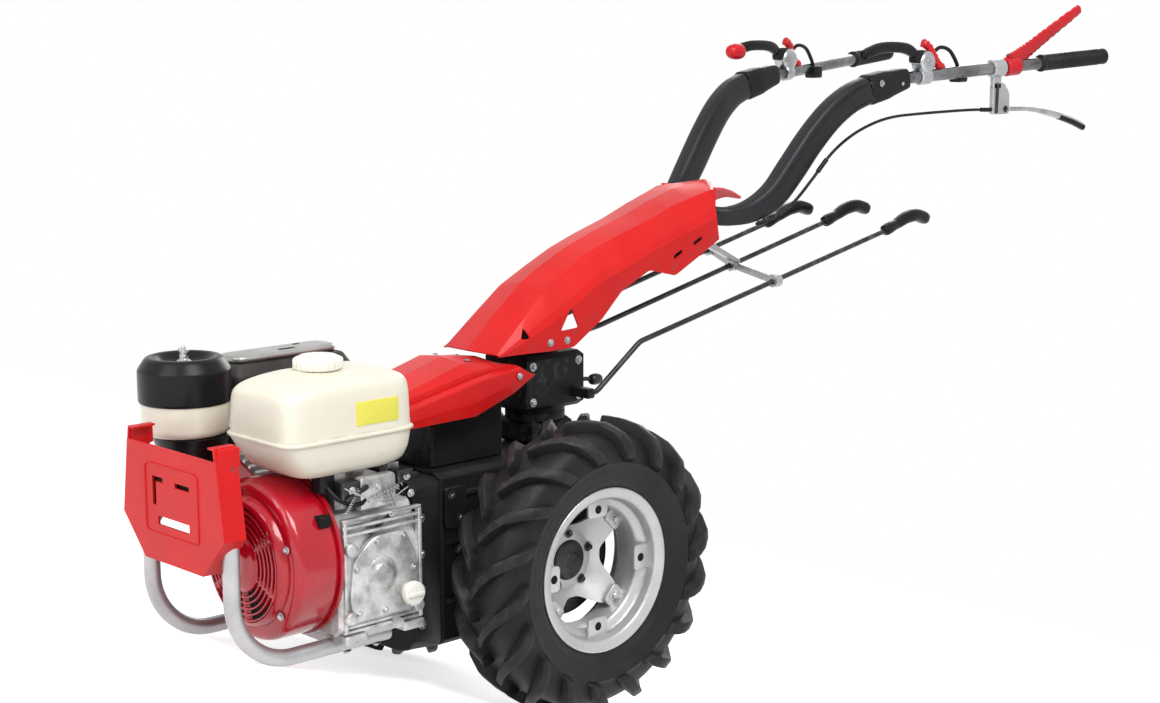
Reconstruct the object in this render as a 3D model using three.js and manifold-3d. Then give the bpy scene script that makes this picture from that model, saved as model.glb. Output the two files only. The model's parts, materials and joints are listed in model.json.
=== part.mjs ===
// A two-wheel walking tractor with a single-cylinder engine in front of the axle and a steering
// head that swings the handlebars round to the engine's end. Millimetres.
//
// Every piece is modelled on the level machine: +X points forward to the engine, +Y to the left
// wheel, +Z up from the ground, with the wheels' axle above X = 0. The level machine is then
// tipped forward about its axle until its front guard meets the ground, which is how it parks.

import * as THREE from "three";
import { mergeVertices } from "three/addons/utils/BufferGeometryUtils.js";
import Module from "manifold-3d";

const wasm = await Module();
wasm.setup();

// ---------------------------------------------------------------- driving dimensions

const TYRE_RADIUS = 258;
const TYRE_WIDTH = 140;
const TRACK = 452; // between the two tyres' middle planes
const RIM_RADIUS = 142; // edge of the rim flange
const RIM_SEAT_RADIUS = 127;
const RIM_WELL_RADIUS = 109;
const RIM_WIDTH = 112;
const RIM_WALL = 4;
const AXLE_RADIUS = 18;
const DISC_THICKNESS = 8;

const GEARBOX_HALF_WIDTH = 88;
const GEARBOX_TOP = 425;
const GEARBOX_REAR = -150;
const GEARBOX_FRONT = 205;
const ENGINE_REAR = 290; // where the crankcase bolts to the bell housing

const COLUMN_X = -95; // the steering head's upright axis
const COLUMN_FLANGE_RADIUS = 54;
const HEAD_BOTTOM = 484;
const HEAD_TOP = 590;
const HEAD_LENGTH = 138;
const HEAD_WIDTH = 110;
const SPIGOT_RADIUS = 22;

const HUB_X = -490; // the handlebars' tilt axis
const HUB_Z = 808;
const HUB_RADIUS = 25;
const HUB_HALF_WIDTH = 44;
const PIVOT_RADIUS = 12;
const PIVOT_HALF = 64;

const CRANK_Y = 30;
const CRANK_Z = 330;
const CRANKCASE_FRONT = 458;
const FAN_COVER_RADIUS = 131;
const FAN_COVER_FRONT = 545;

const GUARD_TUBE_RADIUS = 13.5;
const GUARD_TUBE_X = 634;
const GUARD_TUBE_Y = 113;
const GUARD_TUBE_Z = 188; // middle of the runs under the engine
const GUARD_BEND = 110;
const GUARD_PLATE_FRONT = 664;
const GUARD_PLATE_DEPTH = 40;
const SHEET = 3;

const HANDLE_RADIUS = 12.5;
const GRIP_RADIUS = 17;
const GRIP_LENGTH = 150;
const ROD_RADIUS = 5;

const GAP = 0.3; // between pieces that touch
const PIN_GAP = 0.5; // between a pin and the bore that it turns in

// ---------------------------------------------------------------- materials

function finish(color, roughness, metalness) {
  return new THREE.MeshStandardMaterial({ color, roughness, metalness });
}

const RED = finish(0xc4161c, 0.35, 0.1);
const BLACK = finish(0x1a1a1c, 0.55, 0.2);
const RUBBER = finish(0x202122, 0.85, 0);
const SILVER = finish(0xb9bbbd, 0.4, 0.8);
const CAST = finish(0xa9abad, 0.5, 0.7);
const CREAM = finish(0xf3ecd9, 0.4, 0);
const STEEL = finish(0x8e9092, 0.35, 0.9);

// ---------------------------------------------------------------- solids

// The signed volume is negative where the faces point inwards.
function signedVolume(positions, index) {
  const [a, b, c] = [new THREE.Vector3(), new THREE.Vector3(), new THREE.Vector3()];
  let volume = 0;
  for (let i = 0; i < index.length; i += 3) {
    a.fromArray(positions, 3 * index[i]);
    b.fromArray(positions, 3 * index[i + 1]);
    c.fromArray(positions, 3 * index[i + 2]);
    volume += a.dot(b.cross(c)) / 6;
  }
  return volume;
}

// A closed geometry as a manifold solid with its faces outwards.
function solid(geometry) {
  const bare = geometry.clone();
  bare.deleteAttribute("normal");
  bare.deleteAttribute("uv");
  const merged = mergeVertices(bare, 1e-4);
  const positions = merged.attributes.position.array;
  const index = new Uint32Array(merged.index.array);
  if (signedVolume(positions, index) < 0) index.reverse();
  return new wasm.Manifold(
    new wasm.Mesh({ numProp: 3, vertProperties: positions, triVerts: index }),
  );
}

function outline(points) {
  return new THREE.Shape(points.map(([u, v]) => new THREE.Vector2(u, v)));
}

// An outline extruded by depth along +Z, with an optional chamfer inside that outline.
function extruded(points, depth, chamfer = 0) {
  const geometry = new THREE.ExtrudeGeometry(outline(points), {
    depth: depth - 2 * chamfer,
    bevelEnabled: chamfer > 0,
    bevelThickness: chamfer,
    bevelSize: chamfer,
    bevelOffset: -chamfer,
    bevelSegments: 1,
  });
  return geometry.translate(0, 0, chamfer);
}

// An outline of [x, z] points, extruded from y0 to y1.
function sidewise(points, y0, y1, chamfer = 0) {
  const geometry = extruded(points, y1 - y0, chamfer);
  return solid(geometry.rotateX(Math.PI / 2).translate(0, y1, 0));
}

// An outline of [y, z] points, extruded from x0 to x1.
function forward(points, x0, x1, chamfer = 0) {
  const turn = new THREE.Matrix4().makeBasis(
    new THREE.Vector3(0, 1, 0),
    new THREE.Vector3(0, 0, 1),
    new THREE.Vector3(1, 0, 0),
  );
  return solid(extruded(points, x1 - x0, chamfer).applyMatrix4(turn).translate(x0, 0, 0));
}

// An outline of [x, y] points, extruded from z0 to z1.
function upward(points, z0, z1, chamfer = 0) {
  return solid(extruded(points, z1 - z0, chamfer).translate(0, 0, z0));
}

function rectangle(u0, u1, v0, v1) {
  return [
    [u0, v0],
    [u1, v0],
    [u1, v1],
    [u0, v1],
  ];
}

function block(x0, x1, y0, y1, z0, z1, chamfer = 0) {
  return upward(rectangle(x0, x1, y0, y1), z0, z1, chamfer);
}

function regular(radius, sides, u = 0, v = 0, phase = 0) {
  const points = [];
  for (let i = 0; i < sides; i += 1) {
    const angle = phase + (2 * Math.PI * i) / sides;
    points.push([u + radius * Math.cos(angle), v + radius * Math.sin(angle)]);
  }
  return points;
}

// A profile of [radius, height] points turned about an axis through a point.
function turned(profile, axis, centre, segments = 32) {
  const points = profile.map(([r, h]) => new THREE.Vector2(Math.max(r, 0), h));
  const geometry = new THREE.LatheGeometry(points, segments);
  if (axis === "x") geometry.rotateZ(-Math.PI / 2);
  if (axis === "z") geometry.rotateX(Math.PI / 2);
  return solid(geometry.translate(...centre));
}

function cylinder(radius, low, high, axis, centre, segments = 24) {
  const profile = [
    [0, low],
    [radius, low],
    [radius, high],
    [0, high],
  ];
  return turned(profile, axis, centre, segments);
}

// A ring profile closes on itself, so its first point is repeated.
function ring(profile, axis, centre, segments) {
  return turned([...profile, profile[0]], axis, centre, segments);
}

// A path of straight runs with a round bend of the given radius at each inner point. Its
// stations lie at the ends of the straight runs and a few to each bend.
class BentPath extends THREE.Curve {
  constructor(points, bend, arcSteps = 6) {
    super();
    const corners = points.map((p) => new THREE.Vector3(...p));
    this.stations = [];
    let start = corners[0];
    for (let i = 1; i < corners.length - 1; i += 1) {
      const back = corners[i - 1].clone().sub(corners[i]).normalize();
      const on = corners[i + 1].clone().sub(corners[i]).normalize();
      const half = back.angleTo(on) / 2;
      const inset = bend / Math.tan(half);
      const entry = corners[i].clone().addScaledVector(back, inset);
      const exit = corners[i].clone().addScaledVector(on, inset);
      const centre = back.clone().add(on).normalize();
      centre.multiplyScalar(bend / Math.sin(half)).add(corners[i]);
      this.stations.push(new THREE.LineCurve3(start, entry));
      const arc = new Arc(centre, entry, exit);
      for (let k = 0; k < arcSteps; k += 1) {
        this.stations.push(new Stretch(arc, k / arcSteps, (k + 1) / arcSteps));
      }
      start = exit;
    }
    this.stations.push(new THREE.LineCurve3(start, corners[corners.length - 1]));
    this.steps = this.stations.length;
  }
  getPoint(t, target = new THREE.Vector3()) {
    const i = Math.min(Math.floor(t * this.steps), this.steps - 1);
    return this.stations[i].getPoint(t * this.steps - i, target);
  }
  getUtoTmapping(u) {
    return u;
  }
}

// The circular arc about a centre from one point to another.
class Arc extends THREE.Curve {
  constructor(centre, from, to) {
    super();
    this.centre = centre;
    this.from = from.clone().sub(centre);
    this.angle = this.from.angleTo(to.clone().sub(centre));
    this.normal = this.from.clone().cross(to.clone().sub(centre)).normalize();
  }
  getPoint(t, target = new THREE.Vector3()) {
    target.copy(this.from).applyAxisAngle(this.normal, t * this.angle);
    return target.add(this.centre);
  }
}

// The part of a curve between two of its parameters.
class Stretch extends THREE.Curve {
  constructor(curve, from, to) {
    super();
    Object.assign(this, { curve, from, to });
  }
  getPoint(t, target = new THREE.Vector3()) {
    return this.curve.getPoint(this.from + t * (this.to - this.from), target);
  }
}

function spline(points) {
  return new THREE.CatmullRomCurve3(points.map((p) => new THREE.Vector3(...p)));
}

// A round bar along a path.
function bar(path, radius, sides = 10, steps = path.steps ?? 1) {
  return solid(
    new THREE.ExtrudeGeometry(outline(regular(radius, sides)), {
      steps,
      bevelEnabled: false,
      extrudePath: path,
    }),
  );
}

// Rings of points, each ring the same number, skinned into one closed solid with flat ends.
function loft(rings) {
  const count = rings[0].length;
  const positions = rings.flat(2);
  const index = [];
  for (let i = 0; i + 1 < rings.length; i += 1) {
    for (let j = 0; j < count; j += 1) {
      const next = (j + 1) % count;
      const [a, b] = [i * count + j, i * count + next];
      const [c, d] = [a + count, b + count];
      index.push(a, b, d, a, d, c);
    }
  }
  const last = (rings.length - 1) * count;
  for (let j = 1; j + 1 < count; j += 1) {
    index.push(0, j + 1, j, last, last + j, last + j + 1);
  }
  return fromArrays(positions, index);
}

function fromArrays(positions, index) {
  const geometry = new THREE.BufferGeometry();
  geometry.setAttribute("position", new THREE.Float32BufferAttribute(positions, 3));
  geometry.setIndex(index);
  return solid(geometry);
}

// A thin wall: the grid of points outside, and the same grid moved in by the wall inside.
function shell(outside, inside) {
  const [rows, columns] = [outside.length, outside[0].length];
  const positions = [...outside.flat(2), ...inside.flat(2)];
  const at = (i, j, side) => side * rows * columns + i * columns + j;
  const index = [];
  const quad = (a, b, c, d) => index.push(a, b, c, a, c, d);
  for (let i = 0; i + 1 < rows; i += 1) {
    for (let j = 0; j + 1 < columns; j += 1) {
      quad(at(i, j, 0), at(i + 1, j, 0), at(i + 1, j + 1, 0), at(i, j + 1, 0));
      quad(at(i, j, 1), at(i, j + 1, 1), at(i + 1, j + 1, 1), at(i + 1, j, 1));
    }
    const edge = columns - 1;
    quad(at(i, 0, 0), at(i, 0, 1), at(i + 1, 0, 1), at(i + 1, 0, 0));
    quad(at(i, edge, 0), at(i + 1, edge, 0), at(i + 1, edge, 1), at(i, edge, 1));
  }
  for (let j = 0; j + 1 < columns; j += 1) {
    const end = rows - 1;
    quad(at(0, j, 0), at(0, j + 1, 0), at(0, j + 1, 1), at(0, j, 1));
    quad(at(end, j, 0), at(end, j, 1), at(end, j + 1, 1), at(end, j + 1, 0));
  }
  return fromArrays(positions, index);
}

// The same solid on the other side of the machine's middle plane.
function mirrored(body) {
  return body.mirror([0, 1, 0]);
}

// ---------------------------------------------------------------- the scene graph

const level = new THREE.Group();
level.position.z = -TYRE_RADIUS;

function piece(name, material, body) {
  const made = body.getMesh();
  const geometry = new THREE.BufferGeometry();
  const positions = new Float32Array(made.numVert * 3);
  for (let i = 0; i < made.numVert; i += 1) {
    for (let k = 0; k < 3; k += 1) {
      positions[3 * i + k] = made.vertProperties[made.numProp * i + k];
    }
  }
  geometry.setAttribute("position", new THREE.BufferAttribute(positions, 3));
  geometry.setIndex(new THREE.BufferAttribute(new Uint32Array(made.triVerts), 1));
  const shaded = geometry.toNonIndexed();
  shaded.computeVertexNormals();
  const mesh = new THREE.Mesh(shaded, material);
  mesh.name = name;
  level.add(mesh);
  return mesh;
}

// ---------------------------------------------------------------- wheels

const WHEEL_SEGMENTS = 32;
const BEAD_HALF_WIDTH = RIM_WIDTH / 2 - RIM_WALL - 2;

function mirroredProfile(points) {
  return points.map(([r, w]) => [r, -w]).reverse();
}

// Half of the tyre's wall, from the bead round to the tread, outside and inside.
function tyreProfile() {
  const half = TYRE_WIDTH / 2;
  const bead = RIM_SEAT_RADIUS + GAP;
  const height = TYRE_RADIUS - bead;
  const outer = [
    [bead, BEAD_HALF_WIDTH],
    [RIM_RADIUS + 2, BEAD_HALF_WIDTH],
    [bead + 0.3 * height, 0.94 * half],
    [bead + 0.55 * height, half],
    [TYRE_RADIUS - 14, 0.9 * half],
    [TYRE_RADIUS, 0.66 * half],
  ];
  const wall = 14;
  const inner = [
    [TYRE_RADIUS - 2 * wall, 0.66 * half],
    [bead + 0.5 * height, half - wall],
    [bead, BEAD_HALF_WIDTH - wall],
  ];
  const facing = inner.slice().reverse();
  return [...outer, ...mirroredProfile(outer), ...mirroredProfile(facing), ...facing];
}

// The rim's wall: its outer face from one flange to the other, then its inner face back.
function rimProfile() {
  const half = RIM_WIDTH / 2;
  const outer = [
    [RIM_RADIUS, half],
    [RIM_RADIUS, half - RIM_WALL],
    [RIM_SEAT_RADIUS, half - RIM_WALL],
    [RIM_SEAT_RADIUS, half - 22],
    [RIM_WELL_RADIUS, half - 30],
  ];
  const inner = [
    [RIM_WELL_RADIUS - RIM_WALL, half - 28],
    [RIM_SEAT_RADIUS - RIM_WALL, half - 20],
    [RIM_SEAT_RADIUS - RIM_WALL, half],
  ];
  return [...outer, ...mirroredProfile(outer), ...mirroredProfile(inner), ...inner];
}

const DISC_RADIUS = RIM_WELL_RADIUS - RIM_WALL - GAP;
const DISC_ARMS = 4;

// The wheel's disc: a hub boss, a plate with four windows, and the axle flange.
function disc() {
  const y = TRACK / 2;
  const half = DISC_THICKNESS / 2;
  let body = turned(
    [
      [0, -30],
      [38, -30],
      [42, -half],
      [DISC_RADIUS, -half],
      [DISC_RADIUS, half],
      [46, half],
      [40, 24],
      [0, 24],
    ],
    "y",
    [0, y, TYRE_RADIUS],
    WHEEL_SEGMENTS,
  );
  for (let i = 0; i < DISC_ARMS; i += 1) {
    const angle = ((i + 0.5) * 2 * Math.PI) / DISC_ARMS;
    const centre = [72 * Math.cos(angle), y, TYRE_RADIUS + 72 * Math.sin(angle)];
    body = body.subtract(cylinder(21, -20, 20, "y", centre, 12));
  }
  return body;
}

const HOUSING_END = 150; // outer end of each axle housing
const SHAFT_START = GEARBOX_HALF_WIDTH + 24;

function addWheel(side, label) {
  const centre = [0, (side * TRACK) / 2, TYRE_RADIUS];
  piece(`${label}_tyre`, RUBBER, ring(tyreProfile(), "y", centre, WHEEL_SEGMENTS));
  piece(`${label}_rim`, SILVER, ring(rimProfile(), "y", centre, WHEEL_SEGMENTS));
  piece(`${label}_disc`, SILVER, side > 0 ? disc() : mirrored(disc()));
  const inner = TRACK / 2 - 30 - GAP;
  const shaft = cylinder(AXLE_RADIUS, SHAFT_START, inner, "y", [0, 0, TYRE_RADIUS]);
  const collar = cylinder(34, HOUSING_END + 4, inner, "y", [0, 0, TYRE_RADIUS]);
  const axle = shaft.add(collar);
  piece(`${label}_axle`, STEEL, side > 0 ? axle : mirrored(axle));
}

// ---------------------------------------------------------------- gearbox and axle housings

function gearbox() {
  const profile = [
    [GEARBOX_REAR, 330],
    [GEARBOX_REAR + 30, 205],
    [-60, 152],
    [60, 124],
    [GEARBOX_FRONT, 124],
    [GEARBOX_FRONT, GEARBOX_TOP],
    [GEARBOX_REAR, GEARBOX_TOP],
  ];
  const half = GEARBOX_HALF_WIDTH;
  let body = sidewise(profile, -half, half, 10);
  for (const z of [200, 300, 380]) {
    body = body.add(block(-90, 190, -half - 5, half + 5, z, z + 8));
  }
  return body;
}

function axleHousing() {
  const start = GEARBOX_HALF_WIDTH + 5 + GAP;
  const bore = AXLE_RADIUS + PIN_GAP;
  return ring(
    [
      [bore, start],
      [78, start],
      [78, start + 12],
      [52, start + 18],
      [44, HOUSING_END - 14],
      [50, HOUSING_END - 12],
      [50, HOUSING_END],
      [bore, HOUSING_END],
    ],
    "y",
    [0, 0, TYRE_RADIUS],
    20,
  );
}

// A rounded rectangle in the plane across the machine, as a ring of points at one X.
function crossRing(x, y0, y1, z0, z1, corner) {
  const points = [];
  const centres = [
    [y1 - corner, z1 - corner, 0],
    [y0 + corner, z1 - corner, 1],
    [y0 + corner, z0 + corner, 2],
    [y1 - corner, z0 + corner, 3],
  ];
  for (const [y, z, quarter] of centres) {
    for (let k = 0; k <= 3; k += 1) {
      const angle = ((quarter + k / 3) * Math.PI) / 2;
      points.push([x, y + corner * Math.cos(angle), z + corner * Math.sin(angle)]);
    }
  }
  return points;
}

function bellHousing() {
  const back = GEARBOX_FRONT + GAP;
  const front = ENGINE_REAR - GAP;
  return loft([
    crossRing(back, -86, 92, 126, 420, 14),
    crossRing(back + 30, -92, 110, 130, 430, 30),
    crossRing(front - 14, -92, 130, 134, 440, 50),
    crossRing(front, -92, 130, 134, 440, 50),
  ]);
}

const COUPLING_FACE = GEARBOX_REAR - 42;
const COUPLING_Z = 372;

// The rear implement coupling: a flanged socket with a flat face and four bolt heads.
function coupling() {
  return turned(
    [
      [0, 0],
      [62, 0],
      [62, 16],
      [44, 22],
      [44, GEARBOX_REAR - GAP - COUPLING_FACE],
      [0, GEARBOX_REAR - GAP - COUPLING_FACE],
    ],
    "x",
    [COUPLING_FACE, 0, COUPLING_Z],
    28,
  );
}

function columnPost() {
  const bottom = GEARBOX_TOP + GAP;
  const top = HEAD_BOTTOM - 1;
  const post = block(COLUMN_X - 48, COLUMN_X + 48, -46, 46, bottom, top - 12, 8);
  const flange = cylinder(COLUMN_FLANGE_RADIUS, top - 14, top, "z", [COLUMN_X, 0, 0], 32);
  const spigot = cylinder(SPIGOT_RADIUS, top - 2, HEAD_TOP - 30, "z", [COLUMN_X, 0, 0], 24);
  return post.add(flange).add(spigot);
}

// ---------------------------------------------------------------- engine

const CASE_TOP = 436;
const CASE_CORNER = [-58, 404]; // of the crankcase, where the cylinder comes nearest
const CASE_SLOPE = [
  [122, 404],
  [70, CASE_TOP],
];

function crankcase() {
  const profile = [
    [-58, 204],
    [134, 204],
    [150, 222],
    [150, 340],
    ...CASE_SLOPE,
    [-20, CASE_TOP],
    CASE_CORNER,
  ];
  let body = forward(profile, ENGINE_REAR, CRANKCASE_FRONT, 6);
  body = body.add(block(ENGINE_REAR + 8, CRANKCASE_FRONT - 8, -70, 146, 202, 214));
  for (const [x, y] of [
    [ENGINE_REAR + 30, 104],
    [CRANKCASE_FRONT - 30, 104],
    [ENGINE_REAR + 30, 10],
    [CRANKCASE_FRONT - 30, 10],
  ]) {
    body = body.add(block(x - 11, x + 11, y - 11, y + 11, 380, TANK_BOTTOM - GAP));
  }
  return body;
}

const CYLINDER_TILT = (25 * Math.PI) / 180;

// A point given by its distance along and across the cylinder's axis, as [y, z].
function onCylinder(along, across) {
  const [cos, sin] = [Math.cos(CYLINDER_TILT), Math.sin(CYLINDER_TILT)];
  return [CRANK_Y - along * cos + across * sin, CRANK_Z + along * sin + across * cos];
}

const HEAD_REACH = 232;
const HEAD_HALF = 42;
const FIN_HALF = 50;
const FIN_PITCH = 18;

// How far along the cylinder its foot lies, just clear of the crankcase.
function cylinderStart() {
  const [y, z] = CASE_CORNER;
  return (CRANK_Y - y) * Math.cos(CYLINDER_TILT) + (z - CRANK_Z) * Math.sin(CYLINDER_TILT) + GAP;
}

// Where each cooling fin starts, along the cylinder.
function finStarts() {
  const starts = [];
  for (let along = cylinderStart(); along < HEAD_REACH - 8; along += FIN_PITCH) {
    starts.push(along);
  }
  return starts;
}

function engineCylinder() {
  const corners = (from, to, half) => [
    onCylinder(from, -half),
    onCylinder(to, -half),
    onCylinder(to, half),
    onCylinder(from, half),
  ];
  let body = forward(corners(cylinderStart(), HEAD_REACH, FIN_HALF - 10), 318, 440);
  for (const along of finStarts()) {
    body = body.add(forward(corners(along, along + 7, FIN_HALF), 308, 450));
  }
  return body.add(forward(corners(HEAD_REACH - 10, HEAD_REACH + 26, HEAD_HALF), 330, 430, 8));
}

const SHROUD_CORNER = [178, 62]; // along and across the cylinder

// The pressed cover round the flywheel, reaching over to the cylinder.
function fanCover() {
  const points = [];
  const steps = 20;
  for (let i = 0; i <= steps; i += 1) {
    const angle = -2.4 + (4.62 * i) / steps;
    const [c, s] = [Math.cos(angle), Math.sin(angle)];
    points.push([CRANK_Y + FAN_COVER_RADIUS * c, CRANK_Z + FAN_COVER_RADIUS * s]);
  }
  points.push(onCylinder(...SHROUD_CORNER));
  points.push(onCylinder(190, -30));
  return forward(points, CRANKCASE_FRONT + GAP, FAN_COVER_FRONT, 12);
}

function recoilStarter() {
  return turned(
    [
      [0, 0],
      [106, 0],
      [106, 10],
      [98, 16],
      [50, 18],
      [44, 26],
      [0, 26],
    ],
    "x",
    [FAN_COVER_FRONT + GAP, CRANK_Y, CRANK_Z],
    24,
  );
}

const TANK_BOTTOM = 468;
const TANK = { x0: 291, x1: 553, y0: -34, y1: 154 };
const TANK_SEAM = 530;
const TANK_TOP = 630;

function tankRing(z, inset, corner) {
  const { x0, x1, y0, y1 } = TANK;
  const flat = crossRing(0, x0 + inset, x1 - inset, y0 + inset, y1 - inset, corner);
  return flat.map(([, x, y]) => [x, y, z]);
}

function fuelTank() {
  return loft([
    tankRing(TANK_BOTTOM, 34, 24),
    tankRing(TANK_BOTTOM + 8, 22, 30),
    tankRing(TANK_BOTTOM + 40, 6, 30),
    tankRing(TANK_SEAM - 3, 5, 30),
    tankRing(TANK_SEAM - 3, 0, 30),
    tankRing(TANK_SEAM + 3, 0, 30),
    tankRing(TANK_SEAM + 3, 5, 30),
    tankRing(TANK_TOP - 26, 10, 34),
    tankRing(TANK_TOP - 8, 24, 34),
    tankRing(TANK_TOP, 52, 30),
  ]);
}

const CAP_X = 425;
const CAP_Y = 60;

function tankCap() {
  const profile = [
    [0, TANK_TOP + GAP],
    [32, TANK_TOP + GAP],
    [36, TANK_TOP + 4],
    [35, TANK_TOP + 15],
    [28, TANK_TOP + 20],
    [0, TANK_TOP + 21],
  ];
  return turned(profile, "z", [CAP_X, CAP_Y, 0], 24);
}

const CLEANER_X = 526;
const CLEANER_Y = -155;
const CLEANER_RADIUS = 84;
const CLEANER = { foot: onCylinder(...SHROUD_CORNER)[1] + GAP, bowl: 506, cap: 562, top: 634 };

function cleanerBase() {
  const round = turned(
    [
      [0, CLEANER.foot],
      [48, CLEANER.foot],
      [66, CLEANER.bowl - GAP],
      [0, CLEANER.bowl - GAP],
    ],
    "z",
    [CLEANER_X, CLEANER_Y, 0],
    28,
  );
  const fins = finStarts().map((along) => onCylinder(along + 7, FIN_HALF)[1]);
  const low = Math.max(...fins) + GAP;
  const duct = block(440, CLEANER_X, CLEANER_Y - 24, CLEANER_Y + 24, low, CLEANER.bowl - 4, 4);
  return round.add(duct);
}

function cleanerBowl() {
  const profile = [
    [0, CLEANER.bowl],
    [64, CLEANER.bowl],
    [75, CLEANER.bowl + 10],
    [77, CLEANER.cap - GAP],
    [0, CLEANER.cap - GAP],
  ];
  return turned(profile, "z", [CLEANER_X, CLEANER_Y, 0], 24);
}

function cleanerCap() {
  const profile = [
    [0, CLEANER.cap],
    [CLEANER_RADIUS, CLEANER.cap],
    [CLEANER_RADIUS, CLEANER.top - 22],
    [70, CLEANER.top - 4],
    [50, CLEANER.top],
    [34, CLEANER.top - 8],
    [0, CLEANER.top - 8],
  ];
  const cap = turned(profile, "z", [CLEANER_X, CLEANER_Y, 0], 24);
  const foot = CLEANER.top - 10;
  const stem = cylinder(7, foot, foot + 20, "z", [CLEANER_X, CLEANER_Y, 0], 12);
  const [x0, x1] = [CLEANER_X - 3, CLEANER_X + 3];
  return cap.add(stem).add(block(x0, x1, CLEANER_Y - 16, CLEANER_Y + 16, foot + 10, foot + 26));
}

const MUFFLER = { x0: 176, x1: 428, y0: -262, y1: -150, z0: 508, z1: 600 };

function muffler() {
  const { x0, x1, y0, y1, z0, z1 } = MUFFLER;
  const can = block(x0, x1, y0, y1, z0, z1, 16);
  const [stubY, stubZ] = onCylinder(HEAD_REACH + 18, HEAD_HALF + GAP);
  const stub = block(356, 400, stubY, stubY + 20, stubZ, z0 + 20);
  const shield = block(x0 + 18, x1 - 18, y0 + 14, y1 - 14, z1 - 2, z1 + 10, 3);
  return can.add(stub).add(shield);
}

// The carburettor and governor, between the crankcase and the tank.
const THROAT_RADIUS = 16;

function carburettor() {
  const centre = CASE_TOP - 4;
  const [[y0, z0], [y1, z1]] = CASE_SLOPE;
  const seat = y0 + ((centre - THROAT_RADIUS - z0) / (z1 - z0)) * (y1 - y0) + 2 * GAP;
  const body = block(340, 410, 128, 146, centre - 26, TANK_BOTTOM - GAP - 6, 4);
  return body.add(cylinder(THROAT_RADIUS, seat, 138, "y", [375, 0, centre], 16));
}

function oilFiller() {
  return turned(
    [
      [0, 0],
      [15, 0],
      [15, 14],
      [20, 16],
      [20, 26],
      [0, 28],
    ],
    "y",
    [ENGINE_REAR + 36, 150 + GAP, 262],
    20,
  );
}

// ---------------------------------------------------------------- front guard

const TUBE_REAR_X = 336;
const TUBE_TOP = 528;

function guardTube() {
  const path = new BentPath(
    [
      [GUARD_TUBE_X, GUARD_TUBE_Y, TUBE_TOP],
      [GUARD_TUBE_X, GUARD_TUBE_Y, GUARD_TUBE_Z],
      [TUBE_REAR_X, GUARD_TUBE_Y, GUARD_TUBE_Z],
    ],
    GUARD_BEND,
    10,
  );
  return bar(path, GUARD_TUBE_RADIUS, 12);
}

// The plate that joins the two tubes under the crankcase.
function mountPlate() {
  const half = GUARD_TUBE_Y - GUARD_TUBE_RADIUS - GAP;
  return block(ENGINE_REAR + 20, CRANKCASE_FRONT - 12, -half, half, 186, 201.7, 2);
}

const PLATE = { faceTop: 522, earTop: 543, wide: 402, low: 338 };
const PLATE_HALF = { top: 121, wide: 142, low: 82 };

// A pressed pan with its side flanges standing above the face, and a slotted badge recess.
function guardPlate() {
  const front = GUARD_PLATE_FRONT;
  const back = front - GUARD_PLATE_DEPTH;
  const face = [
    [-PLATE_HALF.low, PLATE.low],
    [PLATE_HALF.low, PLATE.low],
    [PLATE_HALF.wide, PLATE.wide],
    [PLATE_HALF.top + 4, PLATE.faceTop],
    [-PLATE_HALF.top - 4, PLATE.faceTop],
    [-PLATE_HALF.wide, PLATE.wide],
  ];
  let body = forward(face, front - 4, front);
  const wall = [
    [PLATE_HALF.low, PLATE.low],
    [PLATE_HALF.wide, PLATE.wide],
    [PLATE_HALF.top, PLATE.earTop],
    [PLATE_HALF.top - 16, PLATE.earTop],
    [PLATE_HALF.top - 16, PLATE.earTop - SHEET],
    [PLATE_HALF.top - SHEET, PLATE.earTop - SHEET],
    [PLATE_HALF.wide - SHEET, PLATE.wide + 1],
    [PLATE_HALF.low - 2, PLATE.low + SHEET],
  ];
  const flange = forward(wall, back, front);
  const sill = block(back + 10, front, -PLATE_HALF.low, PLATE_HALF.low, PLATE.low, PLATE.low + SHEET);
  body = body.add(flange).add(mirrored(flange)).add(sill);
  const cut = (y0, y1, z0, z1) => block(front - 10, front + 5, y0, y1, z0, z1);
  body = body.subtract(cut(-54, -44, 428, 474));
  body = body.subtract(cut(-46, -24, 466, 474));
  body = body.subtract(cut(10, 50, 464, 472));
  body = body.subtract(cut(-40, 48, 398, 412));
  const clear = GUARD_TUBE_RADIUS + GAP;
  const bore = cylinder(clear, GUARD_TUBE_Z, TUBE_TOP + GAP, "z", [GUARD_TUBE_X, GUARD_TUBE_Y, 0]);
  return body.subtract(bore).subtract(mirrored(bore));
}

// ---------------------------------------------------------------- front hood

const HOOD_HALF = 92;
const HOOD_REAR_HALF = 86;
const HOOD_RISE = 3;

// Points of one half section, from the side's lower edge up to the middle, at one station.
function hoodStation(x, low, shoulder, crown, rake, half = HOOD_HALF) {
  return [
    [x - rake, half, low],
    [x - 0.4 * rake, half, shoulder],
    [x - 0.2 * rake, half - 14, shoulder + 6],
    [x, half - 26, crown],
    [x, 0, crown + HOOD_RISE],
  ];
}

// A half section completed with its mirror image.
function whole(half) {
  const other = half
    .slice(0, -1)
    .map(([x, y, z]) => [x, -y, z])
    .reverse();
  return [...half, ...other];
}

// The section moved in by the sheet's thickness: sides inwards, top downwards.
function inset(points, sheet) {
  return points.map(([x, y, z], i) => {
    const edge = i === 0 || i === points.length - 1;
    const side = Math.sign(y) * Math.min(Math.abs(y), sheet);
    return [x, y - side, edge ? z : z - sheet];
  });
}

const HOOD_CROWN = [122, 606]; // x and z where the crown is highest
const HOOD_MIDDLE = [60, 594];

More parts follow.
